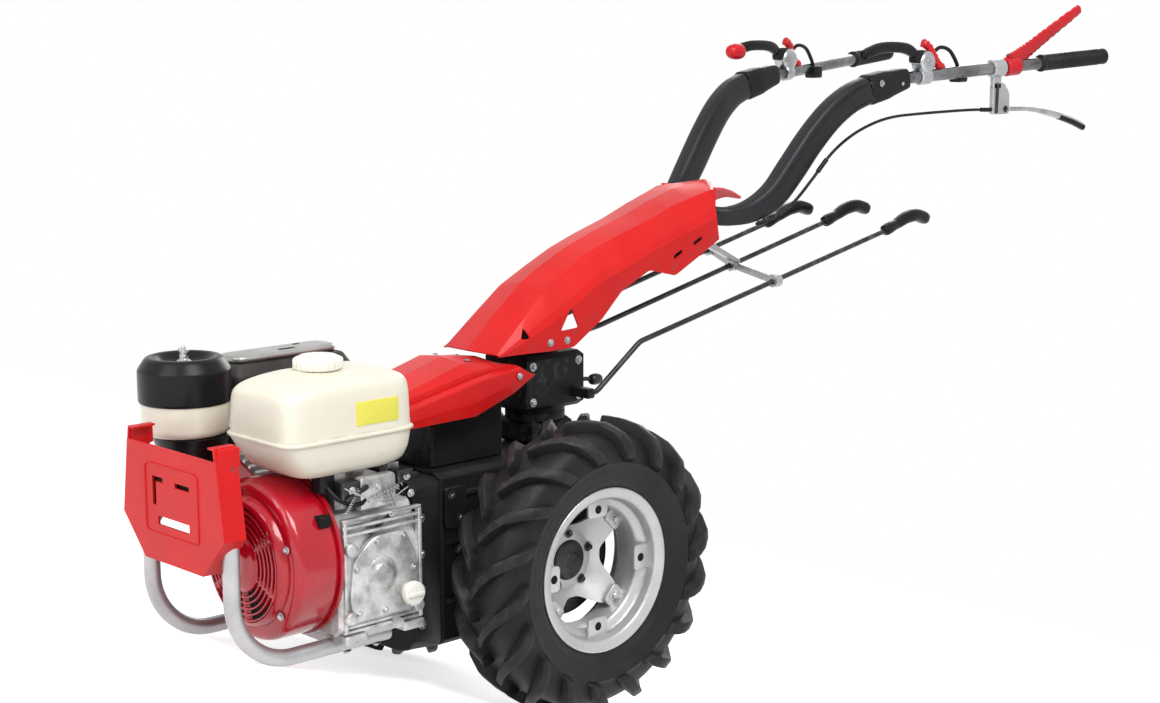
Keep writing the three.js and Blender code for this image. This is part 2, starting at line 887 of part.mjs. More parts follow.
function frontHood() {
  const stations = [
    hoodStation(282, 512, 540, 560, 0),
    hoodStation(200, 500, 546, 566, 0),
    hoodStation(HOOD_CROWN[0], 508, 560, HOOD_CROWN[1], 0),
    hoodStation(HOOD_MIDDLE[0], 530, 558, HOOD_MIDDLE[1], 40),
    hoodStation(40, 548, 560, 588, 50, HOOD_REAR_HALF),
  ].map(whole);
  return shell(
    stations,
    stations.map((s) => inset(s, SHEET)),
  );
}

// The casting that stands on the gearbox and carries the hood.
function hoodBracket() {
  const profile = [
    [30, GEARBOX_TOP + GAP],
    [190, GEARBOX_TOP + GAP],
    [190, 500],
    [186, 500],
    [60, 560],
    [30, 540],
  ];
  const x = 90; // rear edge of the posts that the hood is bolted down on
  const slope = (HOOD_CROWN[1] - HOOD_MIDDLE[1]) / (HOOD_CROWN[0] - HOOD_MIDDLE[0]);
  const rise = HOOD_RISE * (1 - 51 / (HOOD_HALF - 26)); // over the posts' outer edge
  const under = HOOD_MIDDLE[1] + slope * (x - HOOD_MIDDLE[0]) + rise - SHEET - GAP;
  let body = sidewise(profile, -54, 54, 3);
  for (const side of [-1, 1]) {
    body = body.add(block(x, x + 24, side * 42 - 9, side * 42 + 9, 530, under, 2));
  }
  return body;
}

// ---------------------------------------------------------------- steering head and fairing

const HEAD_X0 = COLUMN_X - HEAD_LENGTH / 2;
const HEAD_X1 = COLUMN_X + HEAD_LENGTH / 2;

const EAR_BACK = HEAD_X0 - 10;
const EAR_Z = 518;
const LEFT_EAR = [-138, 94]; // x and y of the left rod's foot

function steeringHead() {
  const half = HEAD_WIDTH / 2;
  const flange = cylinder(COLUMN_FLANGE_RADIUS, HEAD_BOTTOM, HEAD_BOTTOM + 12, "z", [COLUMN_X, 0, 0], 32);
  const body = block(HEAD_X0, HEAD_X1, -half, half, HEAD_BOTTOM + 6, HEAD_TOP, 8);
  const bore = cylinder(
    SPIGOT_RADIUS + PIN_GAP,
    HEAD_BOTTOM - 5,
    HEAD_TOP - 25,
    "z",
    [COLUMN_X, 0, 0],
    24,
  );
  const ear = block(EAR_BACK, HEAD_X0 + 10, -67, 0, EAR_Z - 10, EAR_Z + 10, 3);
  const [x, y] = LEFT_EAR;
  const leftEar = block(x - 8, x + 8, 0, y + 8, EAR_Z - 9, EAR_Z + 9, 2);
  return body.add(flange).add(ear).add(leftEar).subtract(bore);
}

const BEAM_BACK = -135;
const BEAM_CREST = [
  [-58, 655],
  [-300, 782],
];

function supportBeam() {
  const profile = [
    [BEAM_BACK, HEAD_TOP + GAP],
    [-58, HEAD_TOP + GAP],
    ...BEAM_CREST,
    [HUB_X, HUB_Z + 22],
    [HUB_X, HUB_Z - 22],
    [-315, 737],
    [BEAM_BACK, 640],
  ];
  const hub = cylinder(HUB_RADIUS + GAP, -60, 60, "y", [HUB_X, 0, HUB_Z], 24);
  return sidewise(profile, -25, 25, 4).subtract(hub);
}

// The transverse tube at the beam's end, in which the handlebars' pivot turns.
function hubTube() {
  const bore = PIVOT_RADIUS + PIN_GAP;
  const w = HUB_HALF_WIDTH;
  return ring(
    [
      [bore, -w],
      [HUB_RADIUS, -w],
      [HUB_RADIUS, w],
      [bore, w],
    ],
    "y",
    [HUB_X, 0, HUB_Z],
    24,
  );
}

// Half sections of the fairing from its nose to its rear edge. Each holds the lower edge, the
// side crease, the top crease and the crown, as [x, y, z].
const RIB_BACK = -212;
const FAIRING_STATIONS = [
  [[52, 75, 611], [50, 74, 614], [52, 54, 619], [62, 0, 624]],
  [[0, 79, 605], [-4, 77, 640], [-10, 56, 668], [-8, 0, 678]],
  [[-60, 80, 601], [-62, 79, 680], [-64, 52, 712], [-66, 0, 720]],
  [[-116, 80, 602], [-118, 81, 700], [-120, 50, 738], [-120, 0, 746]],
  [[-185, 80, 644], [-174, 81, 714], [-178, 50, 764], [-180, 0, 772]],
  [[-235, 80, 690], [-235, 82, 732], [-240, 52, 785], [-240, 0, 793]],
  [[-307, 80, 722], [-307, 82, 757], [-318, 54, 808], [-320, 0, 816]],
  [[-375, 80, 706], [-380, 83, 780], [-385, 57, 832], [-390, 0, 841]],
  [[-440, 84, 740], [-440, 86, 798], [-440, 62, 848], [-450, 0, 858]],
  [[-487, 85, 764], [-474, 88, 810], [-482, 69, 859], [-540, 0, 872]],
  [[-489, 85, 765], [-477, 88, 811], [-496, 68, 857], [-645, 0, 838]],
];

// The fairing is a sheet with one cross rib inside, which sits on the beam's crest.
function fairing() {
  const stations = FAIRING_STATIONS.map(whole);
  const sheet = shell(
    stations,
    stations.map((s) => inset(s, SHEET)),
  );
  const [[x0, z0], [x1, z1]] = BEAM_CREST;
  const foot = z0 + ((RIB_BACK - x0) / (x1 - x0)) * (z1 - z0) + GAP;
  const rib = [
    [-24, foot],
    [24, foot],
    [24, 775],
    [0, 779],
    [-24, 775],
  ];
  return sheet.add(forward(rib, RIB_BACK, RIB_BACK + 6));
}

// Each gear rod: the corners of its path from the steering head to where its handle starts.
const RODS = {
  left: [
    [LEFT_EAR[0] - 8 - GAP, LEFT_EAR[1], EAR_Z],
    [LEFT_EAR[0] - 20, LEFT_EAR[1], EAR_Z],
    [-252, 110, 600],
    [-958, 110, 747],
  ],
  middle: [
    [BEAM_BACK - GAP, 0, 600],
    [BEAM_BACK - 16, 0, 600],
    [-259, 0, 617],
    [-900, 0, 761],
  ],
  right: [
    [EAR_BACK - GAP, -58, EAR_Z],
    [EAR_BACK - 9, -58, EAR_Z],
    [EAR_BACK - 11, -61, 618],
    [-206, -64, 628],
    [-786, -60, 762],
  ],
};

function gearRod(corners) {
  return bar(new BentPath(corners, 6, 3), ROD_RADIUS, 8);
}

function rodHandle(corners) {
  const [bend, end] = corners.slice(-2);
  const slope = (end[2] - bend[2]) / (end[0] - bend[0]);
  const [x, y, z] = end;
  const start = [x - 2 * GAP, y, z];
  const path = spline([
    start,
    [x - 40, y, z - 40 * slope + 4],
    [x - 100, y, z - 100 * slope + 6],
    [x - 140, y, z - 140 * slope - 14],
  ]);
  return bar(path, 15, 10, 6);
}

const ROD_BRACKET_X = -622;

// Where the last straight run of a rod crosses one X.
function rodAt(corners, x) {
  const [bend, end] = corners.slice(-2).map((p) => new THREE.Vector3(...p));
  return bend.clone().lerp(end, (x - bend.x) / (end.x - bend.x));
}

// The cross bar that ties the three rods together, with an eye round each rod, and the stay
// that hangs it from the hub.
function rodBracket() {
  const x = ROD_BRACKET_X;
  const crossing = Object.values(RODS).map((rod) => rodAt(rod, x));
  let body = rodStay();
  for (const at of crossing) {
    body = body.add(cylinder(13, -9, 9, "x", at.toArray(), 10));
  }
  for (let i = 0; i + 1 < crossing.length; i += 1) {
    const [a, b] = [crossing[i], crossing[i + 1]];
    const tie = [
      [b.y, b.z - 7],
      [a.y, a.z - 7],
      [a.y, a.z + 7],
      [b.y, b.z + 7],
    ];
    body = body.add(forward(tie, x - 4, x + 4));
  }
  for (const rod of Object.values(RODS)) {
    const span = new THREE.LineCurve3(rodAt(rod, x - 60), rodAt(rod, x + 60));
    body = body.subtract(bar(span, (ROD_RADIUS + GAP) / Math.cos(Math.PI / 8), 8));
  }
  return body;
}

function rodStay() {
  const x = ROD_BRACKET_X;
  const top = rodAt(RODS.middle, x).z + 8;
  const under = HUB_Z - HUB_RADIUS - GAP - 1;
  return sidewise(
    [
      [x - 9, top],
      [x + 9, top],
      [HUB_X - 8, HUB_Z - 50],
      [HUB_X + 12, HUB_Z - 33],
      [HUB_X + 12, under],
      [HUB_X - 12, under],
      [HUB_X - 26, HUB_Z - 44],
    ],
    0,
    14,
  );
}

// ---------------------------------------------------------------- handlebars

// The middle line of the left arm with its section's height and width.
const ARM = [
  [[HUB_X, 58.5, HUB_Z], 36, 25],
  [[-522, 78, 806], 36, 30],
  [[-556, 105, 817], 44, 36],
  [[-598, 121, 844], 54, 38],
  [[-640, 129, 890], 58, 40],
  [[-686, 137, 944], 58, 40],
  [[-733, 146, 990], 57, 40],
  [[-779, 154, 1020], 56, 40],
  [[-823, 160, 1036], 55, 40],
];

// A flattened oval across a path's direction, which runs in a nearly upright plane.
function ovalRing(centre, ahead, height, width, sides = 12) {
  const side = new THREE.Vector3(0, 1, 0);
  const rise = new THREE.Vector3().crossVectors(ahead, side).normalize();
  const across = new THREE.Vector3().crossVectors(rise, ahead).normalize();
  const points = [];
  for (let i = 0; i < sides; i += 1) {
    const angle = (2 * Math.PI * i) / sides;
    const [c, s] = [Math.cos(angle), Math.sin(angle)];
    const u = (width / 2) * Math.sign(c) * Math.sqrt(Math.abs(c));
    const v = (height / 2) * Math.sign(s) * Math.sqrt(Math.abs(s));
    const point = centre.clone().addScaledVector(across, u).addScaledVector(rise, v);
    points.push(point.toArray());
  }
  return points;
}

function arm() {
  const centres = ARM.map(([p]) => new THREE.Vector3(...p));
  const rings = ARM.map(([, height, width], i) => {
    const before = centres[Math.max(i - 1, 0)];
    const after = centres[Math.min(i + 1, centres.length - 1)];
    const ahead = after.clone().sub(before).normalize();
    return ovalRing(centres[i], ahead, height, width);
  });
  const sweep = loft(rings);
  const boss = cylinder(20, HUB_HALF_WIDTH + 1, 70, "y", [HUB_X, 0, HUB_Z], 20);
  const pivot = cylinder(PIVOT_RADIUS + GAP, 0, PIVOT_HALF, "y", [HUB_X, 0, HUB_Z], 16);
  return sweep.add(boss).subtract(pivot);
}

function pivotShaft() {
  return cylinder(PIVOT_RADIUS, GAP - PIVOT_HALF, PIVOT_HALF - GAP, "y", [HUB_X, 0, HUB_Z], 16);
}

const CLAMP_END = [-934, 170, 1058];

// The sleeve that holds the handle tube in the arm's end.
function clampBlock() {
  const [before, tip] = ARM.slice(-2).map(([p]) => new THREE.Vector3(...p));
  const leaving = tip.clone().sub(before).normalize();
  const end = new THREE.Vector3(...CLAMP_END);
  const start = tip.clone().addScaledVector(leaving, GAP);
  const middle = start.clone().lerp(end, 0.55);
  return loft([
    ovalRing(start, leaving, 57, 42),
    ovalRing(middle, end.clone().sub(start).normalize(), 56, 40),
    ovalRing(end, handleAxis(0).sub(end).normalize(), 40, 34),
  ]);
}

const HANDLE_KNEE = [-1030, 188, 1064];
const HANDLE_END = [-1469, 285, 1095];

function handleAxis(distance) {
  const knee = new THREE.Vector3(...HANDLE_KNEE);
  const end = new THREE.Vector3(...HANDLE_END);
  const ahead = end.clone().sub(knee).normalize();
  return knee.addScaledVector(ahead, distance);
}

const HANDLE_RUN = handleAxis(0).distanceTo(new THREE.Vector3(...HANDLE_END));

function handleTube() {
  const start = new THREE.Vector3(...CLAMP_END);
  const ahead = handleAxis(0).sub(start).normalize();
  start.addScaledVector(ahead, GAP);
  const end = handleAxis(HANDLE_RUN - 6);
  return bar(new BentPath([start.toArray(), HANDLE_KNEE, end.toArray()], 60, 3), HANDLE_RADIUS, 12);
}

function handleGrip() {
  const start = HANDLE_RUN - GRIP_LENGTH;
  return collar(start, HANDLE_RUN, GRIP_RADIUS).subtract(tubeRoom(start - 5, HANDLE_RUN - 5));
}

// The room that a piece round the left handle tube leaves for it, between two distances.
function tubeRoom(from, to) {
  return bar(new THREE.LineCurve3(handleAxis(from), handleAxis(to)), HANDLE_RADIUS + 2 * GAP, 12);
}

function collar(from, to, radius) {
  return bar(new THREE.LineCurve3(handleAxis(from), handleAxis(to)), radius, 12);
}

// The red stop lever: a collar on the left tube with a long blade rising behind it.
function stopLever() {
  const [from, to] = [170, 206];
  const hub = handleAxis((from + to) / 2);
  const tip = new THREE.Vector3(hub.x - 206, hub.y + 26, hub.z + 118);
  const ahead = tip.clone().sub(hub).normalize();
  const blade = loft([
    ovalRing(new THREE.Vector3(hub.x + 8, hub.y, hub.z + 16), ahead, 30, 16, 8),
    ovalRing(hub.clone().lerp(tip, 0.3).setZ(hub.z + 44), ahead, 30, 15, 8),
    ovalRing(tip, ahead, 20, 12, 8),
  ]);
  return collar(from, to, 19).add(blade).subtract(tubeRoom(from - 20, to + 60));
}

const CLUTCH_AT = 148; // along the handle tube's straight run
const CLUTCH_DROP = 84; // of the lever's pivot below the tube

// A band round the tube, and a plate hung from it that runs back under the stop lever.
function clutchBracket() {
  const at = handleAxis(CLUTCH_AT);
  const band = collar(CLUTCH_AT - 16, CLUTCH_AT + 16, 18);
  const neck = block(at.x - 14, at.x + 14, at.y - 5, at.y + 5, at.z - 40, at.z - 10, 1);
  const plate = block(at.x - 44, at.x + 14, at.y - 5, at.y + 5, at.z - CLUTCH_DROP - 10, at.z - 30, 1);
  return band.add(neck).add(plate).subtract(tubeRoom(CLUTCH_AT - 60, CLUTCH_AT + 60));
}

function clutchLever() {
  const at = handleAxis(CLUTCH_AT);
  const z = at.z - CLUTCH_DROP;
  const path = spline([
    [at.x - 45 - GAP, at.y, z],
    [at.x - 104, at.y + 12, z - 2],
    [at.x - 168, at.y + 20, z - 12],
    [at.x - 232, at.y + 28, z - 28],
    [at.x - 280, at.y + 34, z - 45],
  ]);
  return bar(path, 7, 8, 8);
}

const CABLE_RADIUS = 3;

// The clutch cable, from its lever's bracket along the arm's underside to the arm's foot.
function clutchCable() {
  const at = handleAxis(CLUTCH_AT);
  const path = spline([
    [at.x + 14 + GAP + 0.5, at.y, at.z - CLUTCH_DROP],
    [at.x + 80, at.y - 12, at.z - CLUTCH_DROP + 1],
    [-961, 192, 988],
    [-875, 188, 984],
    [-813, 184, 972],
    [-753, 180, 950],
    [-706, 172, 918],
    [-664, 162, 872],
    [-628, 150, 832],
    [-590, 134, 803],
    [-556, 116, 791],
  ]);
  return bar(path, CABLE_RADIUS, 8, 30);
}

// A small hand lever's bracket near the front of a handle tube.
function leverBracket() {
  const at = leverPoint();
  const body = block(at.x - 22, at.x + 22, at.y - 18, at.y + 18, at.z - 18, at.z + 46, 6);
  const [start, end] = [new THREE.Vector3(...CLAMP_END), new THREE.Vector3(...HANDLE_KNEE)];
  return body.subtract(bar(new THREE.LineCurve3(start, end), HANDLE_RADIUS + 2 * GAP, 12));
}

function leverPoint() {
  const start = new THREE.Vector3(...CLAMP_END);
  return start.lerp(new THREE.Vector3(...HANDLE_KNEE), 0.5);
}

function handLever() {
  const at = leverPoint();
  const path = spline([
    [at.x + 24, at.y, at.z + 40],
    [at.x + 60, at.y - 4, at.z + 56],
    [at.x + 120, at.y - 8, at.z + 58],
    [at.x + 180, at.y - 10, at.z + 46],
  ]);
  return bar(path, 12, 10, 7);
}

// ---------------------------------------------------------------- the whole machine

addWheel(1, "left_wheel");
addWheel(-1, "right_wheel");

piece("gearbox_housing", BLACK, gearbox());
piece("left_axle_housing", BLACK, axleHousing());
piece("right_axle_housing", BLACK, mirrored(axleHousing()));
piece("bell_housing", BLACK, bellHousing());
piece("implement_coupling", STEEL, coupling());
piece("column_post", BLACK, columnPost());

piece("engine_crankcase", CAST, crankcase());
piece("engine_cylinder", CAST, engineCylinder());
piece("fan_cover", RED, fanCover());
piece("recoil_starter", RED, recoilStarter());
piece("fuel_tank", CREAM, fuelTank());
piece("fuel_tank_cap", CREAM, tankCap());
piece("air_cleaner_base", BLACK, cleanerBase());
piece("air_cleaner_bowl", CREAM, cleanerBowl());
piece("air_cleaner_cap", BLACK, cleanerCap());
piece("muffler", BLACK, muffler());
piece("carburettor", CAST, carburettor());
piece("oil_filler_cap", CREAM, oilFiller());

piece("left_guard_tube", SILVER, guardTube());
piece("right_guard_tube", SILVER, mirrored(guardTube()));
piece("engine_mount_plate", STEEL, mountPlate());
piece("guard_plate", RED, guardPlate());

piece("front_hood", RED, frontHood());
piece("hood_bracket", BLACK, hoodBracket());

piece("steering_head", BLACK, steeringHead());
piece("support_beam", BLACK, supportBeam());
piece("handlebar_hub", BLACK, hubTube());
piece("column_fairing", RED, fairing());
for (const [label, rod] of Object.entries(RODS)) {
  piece(`${label}_gear_rod`, BLACK, gearRod(rod));
  piece(`${label}_gear_handle`, RUBBER, rodHandle(rod));
}
piece("gear_rod_bracket", STEEL, rodBracket());

piece("handlebar_pivot", STEEL, pivotShaft());
piece("left_arm", BLACK, arm());
piece("right_arm", BLACK, mirrored(arm()));
piece("left_arm_clamp", BLACK, clampBlock());
piece("right_arm_clamp", BLACK, mirrored(clampBlock()));
piece("left_handle_tube", SILVER, handleTube());
piece("right_handle_tube", SILVER, mirrored(handleTube()));
piece("left_grip", RUBBER, handleGrip());
piece("right_grip", RUBBER, mirrored(handleGrip()));
piece("stop_lever", RED, stopLever());
piece("clutch_bracket", STEEL, clutchBracket());
piece("clutch_lever", STEEL, clutchLever());
piece("clutch_cable", RUBBER, clutchCable());
piece("left_lever_bracket", STEEL, leverBracket());
piece("left_hand_lever", RUBBER, handLever());
piece("right_lever_bracket", STEEL, mirrored(leverBracket()));
piece("right_hand_lever", RUBBER, mirrored(handLever()));

// ---------------------------------------------------------------- parked on the ground

// The ground touches the tyres and the outside of the guard tubes' bends: the angle at which a
// line meets both circles.
function parkingAngle() {
  const x = GUARD_TUBE_X - GUARD_BEND;
  const z = GUARD_TUBE_Z + GUARD_BEND;
  const radius = GUARD_BEND + GUARD_TUBE_RADIUS;
  const reach = Math.hypot(x, TYRE_RADIUS - z);
  return Math.asin((TYRE_RADIUS - radius) / reach) - Math.atan2(TYRE_RADIUS - z, x);
}

const machine = new THREE.Group();
machine.name = "machine";
machine.add(level);
machine.position.z = TYRE_RADIUS;
machine.rotation.y = parkingAngle();

const tractor = new THREE.Group();
tractor.name = "walking_tractor";
tractor.add(machine);
tractor.updateMatrixWorld(true);
const bounds = new THREE.Box3().setFromObject(tractor, true);
machine.position.x = -(bounds.min.x + bounds.max.x) / 2;

export default tractor;
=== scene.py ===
"""A two-wheel walking tractor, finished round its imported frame.

Shapes are worked out in millimetres on the level machine (+X forward to the engine, +Y to the
left wheel, +Z up, the axle at X = 0) and put into each mesh in metres on the parked machine,
which stands nose down on its front guard.
"""

import json
import math

import bmesh
import bpy
import numpy as np
from mathutils import Matrix, Vector

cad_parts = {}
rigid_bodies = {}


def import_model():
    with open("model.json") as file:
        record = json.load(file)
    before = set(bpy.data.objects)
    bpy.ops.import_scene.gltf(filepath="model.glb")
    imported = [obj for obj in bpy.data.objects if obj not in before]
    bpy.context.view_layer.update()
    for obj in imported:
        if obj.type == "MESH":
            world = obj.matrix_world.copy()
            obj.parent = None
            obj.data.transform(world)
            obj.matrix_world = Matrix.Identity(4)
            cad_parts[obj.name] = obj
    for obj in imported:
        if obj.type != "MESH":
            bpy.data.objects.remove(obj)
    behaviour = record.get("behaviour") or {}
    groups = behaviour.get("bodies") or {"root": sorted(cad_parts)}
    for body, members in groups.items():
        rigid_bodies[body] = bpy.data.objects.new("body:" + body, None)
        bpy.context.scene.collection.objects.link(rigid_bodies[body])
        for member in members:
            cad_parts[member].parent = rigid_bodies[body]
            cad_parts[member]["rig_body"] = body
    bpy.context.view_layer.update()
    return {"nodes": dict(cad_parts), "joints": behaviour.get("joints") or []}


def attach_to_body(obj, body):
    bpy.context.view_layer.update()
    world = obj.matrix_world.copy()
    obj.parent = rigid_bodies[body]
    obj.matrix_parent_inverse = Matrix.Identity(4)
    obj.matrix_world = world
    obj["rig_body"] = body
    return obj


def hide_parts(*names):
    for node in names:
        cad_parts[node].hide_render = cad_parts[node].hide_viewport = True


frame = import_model()

# ---------------------------------------------------------------- the level machine

JOINTS = {joint["name"]: joint for joint in frame["joints"]}
AXLE = 1000 * np.array(JOINTS["left_wheel_spin"]["pos_m"])
SIN, _, COS = JOINTS["steering_swing"]["axis"]  # of the angle that the parked machine leans by
ORIGIN = np.array([AXLE[0], 0, AXLE[2]])
GROUND_TO_AXLE = AXLE[2]
TRACK = 2 * AXLE[1]


def parked(points):
    """Level millimetres to parked metres: a turn about the axle, then a move along X."""
    x, y, z = points[..., 0], points[..., 1], points[..., 2] - GROUND_TO_AXLE
    turned = np.stack([x * COS + z * SIN, y, z * COS - x * SIN], -1)
    return 0.001 * (turned + ORIGIN)


def level(points):
    """Parked metres to level millimetres, the opposite turn."""
    x, y, z = np.moveaxis(1000 * points - ORIGIN, -1, 0)
    return np.stack([x * COS - z * SIN, y, z * COS + x * SIN + GROUND_TO_AXLE], -1)


def vertices(mesh):
    """A mesh's points as one array."""
    flat = np.empty(3 * len(mesh.vertices))
    mesh.vertices.foreach_get("co", flat)
    return flat.reshape(-1, 3)


def reach(node):
    """A node's lowest and highest corners on the level machine."""
    points = level(vertices(frame["nodes"][node].data))
    return points.min(0), points.max(0)


def middle(node):
    """The middle of a node's box on the level machine."""
    low, high = reach(node)
    return (low + high) / 2


# ---------------------------------------------------------------- curves and surfaces

AXES = {"x": (0, 1, 2), "y": (1, 0, 2), "z": (2, 0, 1)}
SIDES = (1, -1)


def unit(vectors):
    """Each vector over its own length."""
    return vectors / np.linalg.norm(vectors, axis=-1, keepdims=True)


def soften(points, radius, steps=4, loop=False):
    """Each corner P becomes (1-t)^2 A + 2t(1-t) P + t^2 B, with A and B on the two sides."""
    p = np.asarray(points, float)
    flat = p.reshape(len(p), -1)
    if loop:
        before, after, corner = np.roll(flat, 1, 0), np.roll(flat, -1, 0), flat
    else:
        before, after, corner = flat[:-2], flat[2:], flat[1:-1]
    t = np.linspace(0, 1, steps)[None, :, None]

    def toward(other):
        span = np.linalg.norm(other - corner, axis=1, keepdims=True)
        return (corner + (other - corner) * np.minimum(0.45, radius / (span + 1e-9)))[:, None]

    bend = (1 - t) ** 2 * toward(before) + 2 * t * (1 - t) * corner[:, None] + t**2 * toward(after)
    rounded = bend.reshape(-1, flat.shape[1])
    if not loop:
        rounded = np.concatenate([flat[:1], rounded, flat[-1:]])
    return rounded.reshape((-1,) + p.shape[1:])


def curve(points, steps=8):
    """The Catmull-Rom curve through the points, b + (c-a)t/2 + ... on each span b to c."""
    p = np.asarray(points, float)
    p = np.concatenate([2 * p[:1] - p[1:2], p, 2 * p[-1:] - p[-2:-1]])
    t = np.linspace(0, 1, steps, endpoint=False)[None, :, None]
    a, b, c, d = p[:-3, None], p[1:-2, None], p[2:-1, None], p[3:, None]
    q = 2 * b + (c - a) * t + (2 * a - 5 * b + 4 * c - d) * t**2 + (3 * b - a - 3 * c + d) * t**3
    return np.concatenate([0.5 * q.reshape(-1, p.shape[1]), p[-2:-1]])


def grid(points, wrap_u=False, wrap_v=False):
    """A net of points as quads: (i, j) joins (i+1, j), (i+1, j+1) and (i, j+1)."""
    nu, nv = points.shape[:2]
    i = np.arange(nu if wrap_u else nu - 1)[:, None]
    j = np.arange(nv if wrap_v else nv - 1)[None]
    corners = [(i, j), (i + 1, j), (i + 1, j + 1), (i, j + 1)]
    quads = [(a % nu) * nv + b % nv for a, b in corners]
    return points.reshape(-1, 3), np.stack(quads, -1).reshape(-1, 4)


def join(*surfaces):
    """Surfaces as one, each one's faces counted on from the points before it."""
    points, faces, count = [], [], 0
    for p, f in surfaces:
        points.append(p)
        faces.append(f + count)
        count += len(p)
    return np.concatenate(points), np.concatenate(faces)


def across(axis, along, a, b):
    """Points with `along` on the named axis, and a and b on the other two in x, y, z order."""
    k, i, j = AXES[axis]
    along, a, b = np.broadcast_arrays(along, a, b)
    points = np.empty(a.shape + (3,))
    points[..., k], points[..., i], points[..., j] = along, a, b
    return points


def lathe(profile, centre, axis, count=64, loop=False):
    """(radius r, height h) pairs turned about an axis: centre + h along it, r (cos t, sin t)."""
    r, h = np.asarray(profile, float).T[:, :, None]
    t = 2 * np.pi * np.arange(count)[None] / count
    points = across(axis, h + 0 * t, r * np.cos(t), r * np.sin(t)) + np.asarray(centre, float)
    return grid(points, wrap_u=loop, wrap_v=True)


def outward(shape):
    """The outward direction at each point of a closed outline, across the mean of its sides."""
    ahead = unit(np.roll(shape, -1, 0) - shape + 1e-9)
    both = unit(ahead + np.roll(ahead, 1, 0))
    normal = np.stack([both[:, 1], -both[:, 0]], -1)
    x, y = shape.T
    area = np.sum(x * np.roll(y, -1) - y * np.roll(x, -1))
    return normal if area > 0 else -normal


def stack(shape, draw, along, axis):
    """An outline set at each place along an axis, drawn in by each amount, closed to its middle."""
    rings = shape[None] - draw[:, None, None] * outward(shape)[None]
    heart = np.broadcast_to(shape.mean(0), (1,) + shape.shape)
    rings = np.concatenate([heart, rings, heart])
    along = np.concatenate([along[:1], along, along[-1:]])
    return grid(across(axis, along[:, None], rings[..., 0], rings[..., 1]), wrap_v=True)


def slab(shape, low, high, axis, edge=2.0, steps=3):
    """An outline carried from low to high, its ends drawn in by edge (1 - sin a)."""
    shape = np.asarray(shape, float)
    a = np.linspace(0, np.pi / 2, steps + 1)
    draw = np.concatenate([edge * (1 - np.sin(a)), edge * (1 - np.sin(a[::-1]))])
    rise = edge * (1 - np.cos(a))
    along = np.concatenate([low + rise, high - rise[::-1]])
    return stack(shape, draw, along, axis)


def oblong(a0, a1, b0, b1, corner, steps=5):
    """A rectangle's outline with its corners rounded."""
    return soften([[a0, b0], [a1, b0], [a1, b1], [a0, b1]], corner, steps, loop=True)


def box(low, high, corner=3.0, edge=1.5, axis="z"):
    """A block with rounded upright corners and rounded ends along one axis."""
    k, i, j = AXES[axis]
    shape = oblong(low[i], high[i], low[j], high[j], corner)
    return slab(shape, low[k], high[k], axis, edge)


def ring(radius, count=24):
    """The circle (r cos t, r sin t)."""
    t = 2 * np.pi * np.arange(count) / count
    return radius * np.stack([np.cos(t), np.sin(t)], -1)


def oval(width, height, power=4.0, count=40):
    """The superellipse |x/w|^p + |y/h|^p = 1; width and height may be arrays along a path."""
    t = 2 * np.pi * np.arange(count) / count
    c, s = np.cos(t), np.sin(t)
    x = np.sign(c) * np.abs(c) ** (2 / power)
    y = np.sign(s) * np.abs(s) ** (2 / power)
    w, h = np.asarray(width)[..., None] / 2, np.asarray(height)[..., None] / 2
    return np.stack(np.broadcast_arrays(w * x, h * y), -1)


def sweep(path, section, side=(0, 1, 0), edge=1.5):
    """A section of (sideways, rise) pairs carried along a path, closed and softened at its ends."""
    path = np.asarray(path, float)
    ahead = unit(np.gradient(path, axis=0))
    sideways = np.asarray(side, float) - (ahead @ np.asarray(side, float))[:, None] * ahead
    sideways = unit(sideways)
    rise = np.cross(sideways, ahead)
    section = np.broadcast_to(section, (len(path),) + section.shape[-2:])
    size = np.abs(section).max(axis=(1, 2))
    place = path.copy()
    place[0] += edge * ahead[0]
    place[-1] -= edge * ahead[-1]
    rows = [(0, path[0], 0.0), (0, path[0], 1 - edge / size[0])]
    rows += [(i, place[i], 1.0) for i in range(len(path))]
    rows += [(-1, path[-1], 1 - edge / size[-1]), (-1, path[-1], 0.0)]
    index = [row[0] for row in rows]
    centre = np.array([row[1] for row in rows])[:, None]
    scale = np.array([row[2] for row in rows])[:, None, None]
    u, v = scale * section[index][..., :1], scale * section[index][..., 1:]
    return grid(centre + u * sideways[index][:, None] + v * rise[index][:, None], wrap_v=True)


def mirror(surface):
    """The same surface on the machine's other side."""
    points, faces = surface
    return points * [1, -1, 1], faces


def both(surface):
    """A surface and its mirror."""
    return join(surface, mirror(surface))


def repeated(template, places):
    """A template that points up +Z, set at each (centre, direction)."""
    points, faces = template
    centres = np.array([c for c, _ in places], float)
    w = unit(np.array([d for _, d in places], float))
    helper = np.where(np.abs(w[:, :1]) > 0.8, [[0, 1, 0]], [[1, 0, 0]])
    u = unit(np.cross(helper, w))
    basis = np.stack([u, np.cross(w, u), w], 1)
    made = centres[:, None] + np.einsum("pk,nkc->npc", points, basis)
    shift = len(points) * np.arange(len(places))[:, None, None]
    return made.reshape(-1, 3), (faces[None] + shift).reshape(-1, 4)


def fasteners(places, size=8.0, tall=5.0):
    """Hexagon heads, `size` across their flats, on round washers."""
    r = 0.58 * size
    head = [[0, tall], [0.8 * r, tall], [r, 0.82 * tall], [r, 0], [0, 0]]
    washer = [[0, 1.4], [0.9 * size, 1.4], [0.98 * size, 1.0], [0.98 * size, 0], [0, 0]]
    parts = join(lathe(head, (0, 0, 0), "z", 6), lathe(washer, (0, 0, 0), "z", 16))
    return repeated(parts, places)


# ---------------------------------------------------------------- node groups and finishes


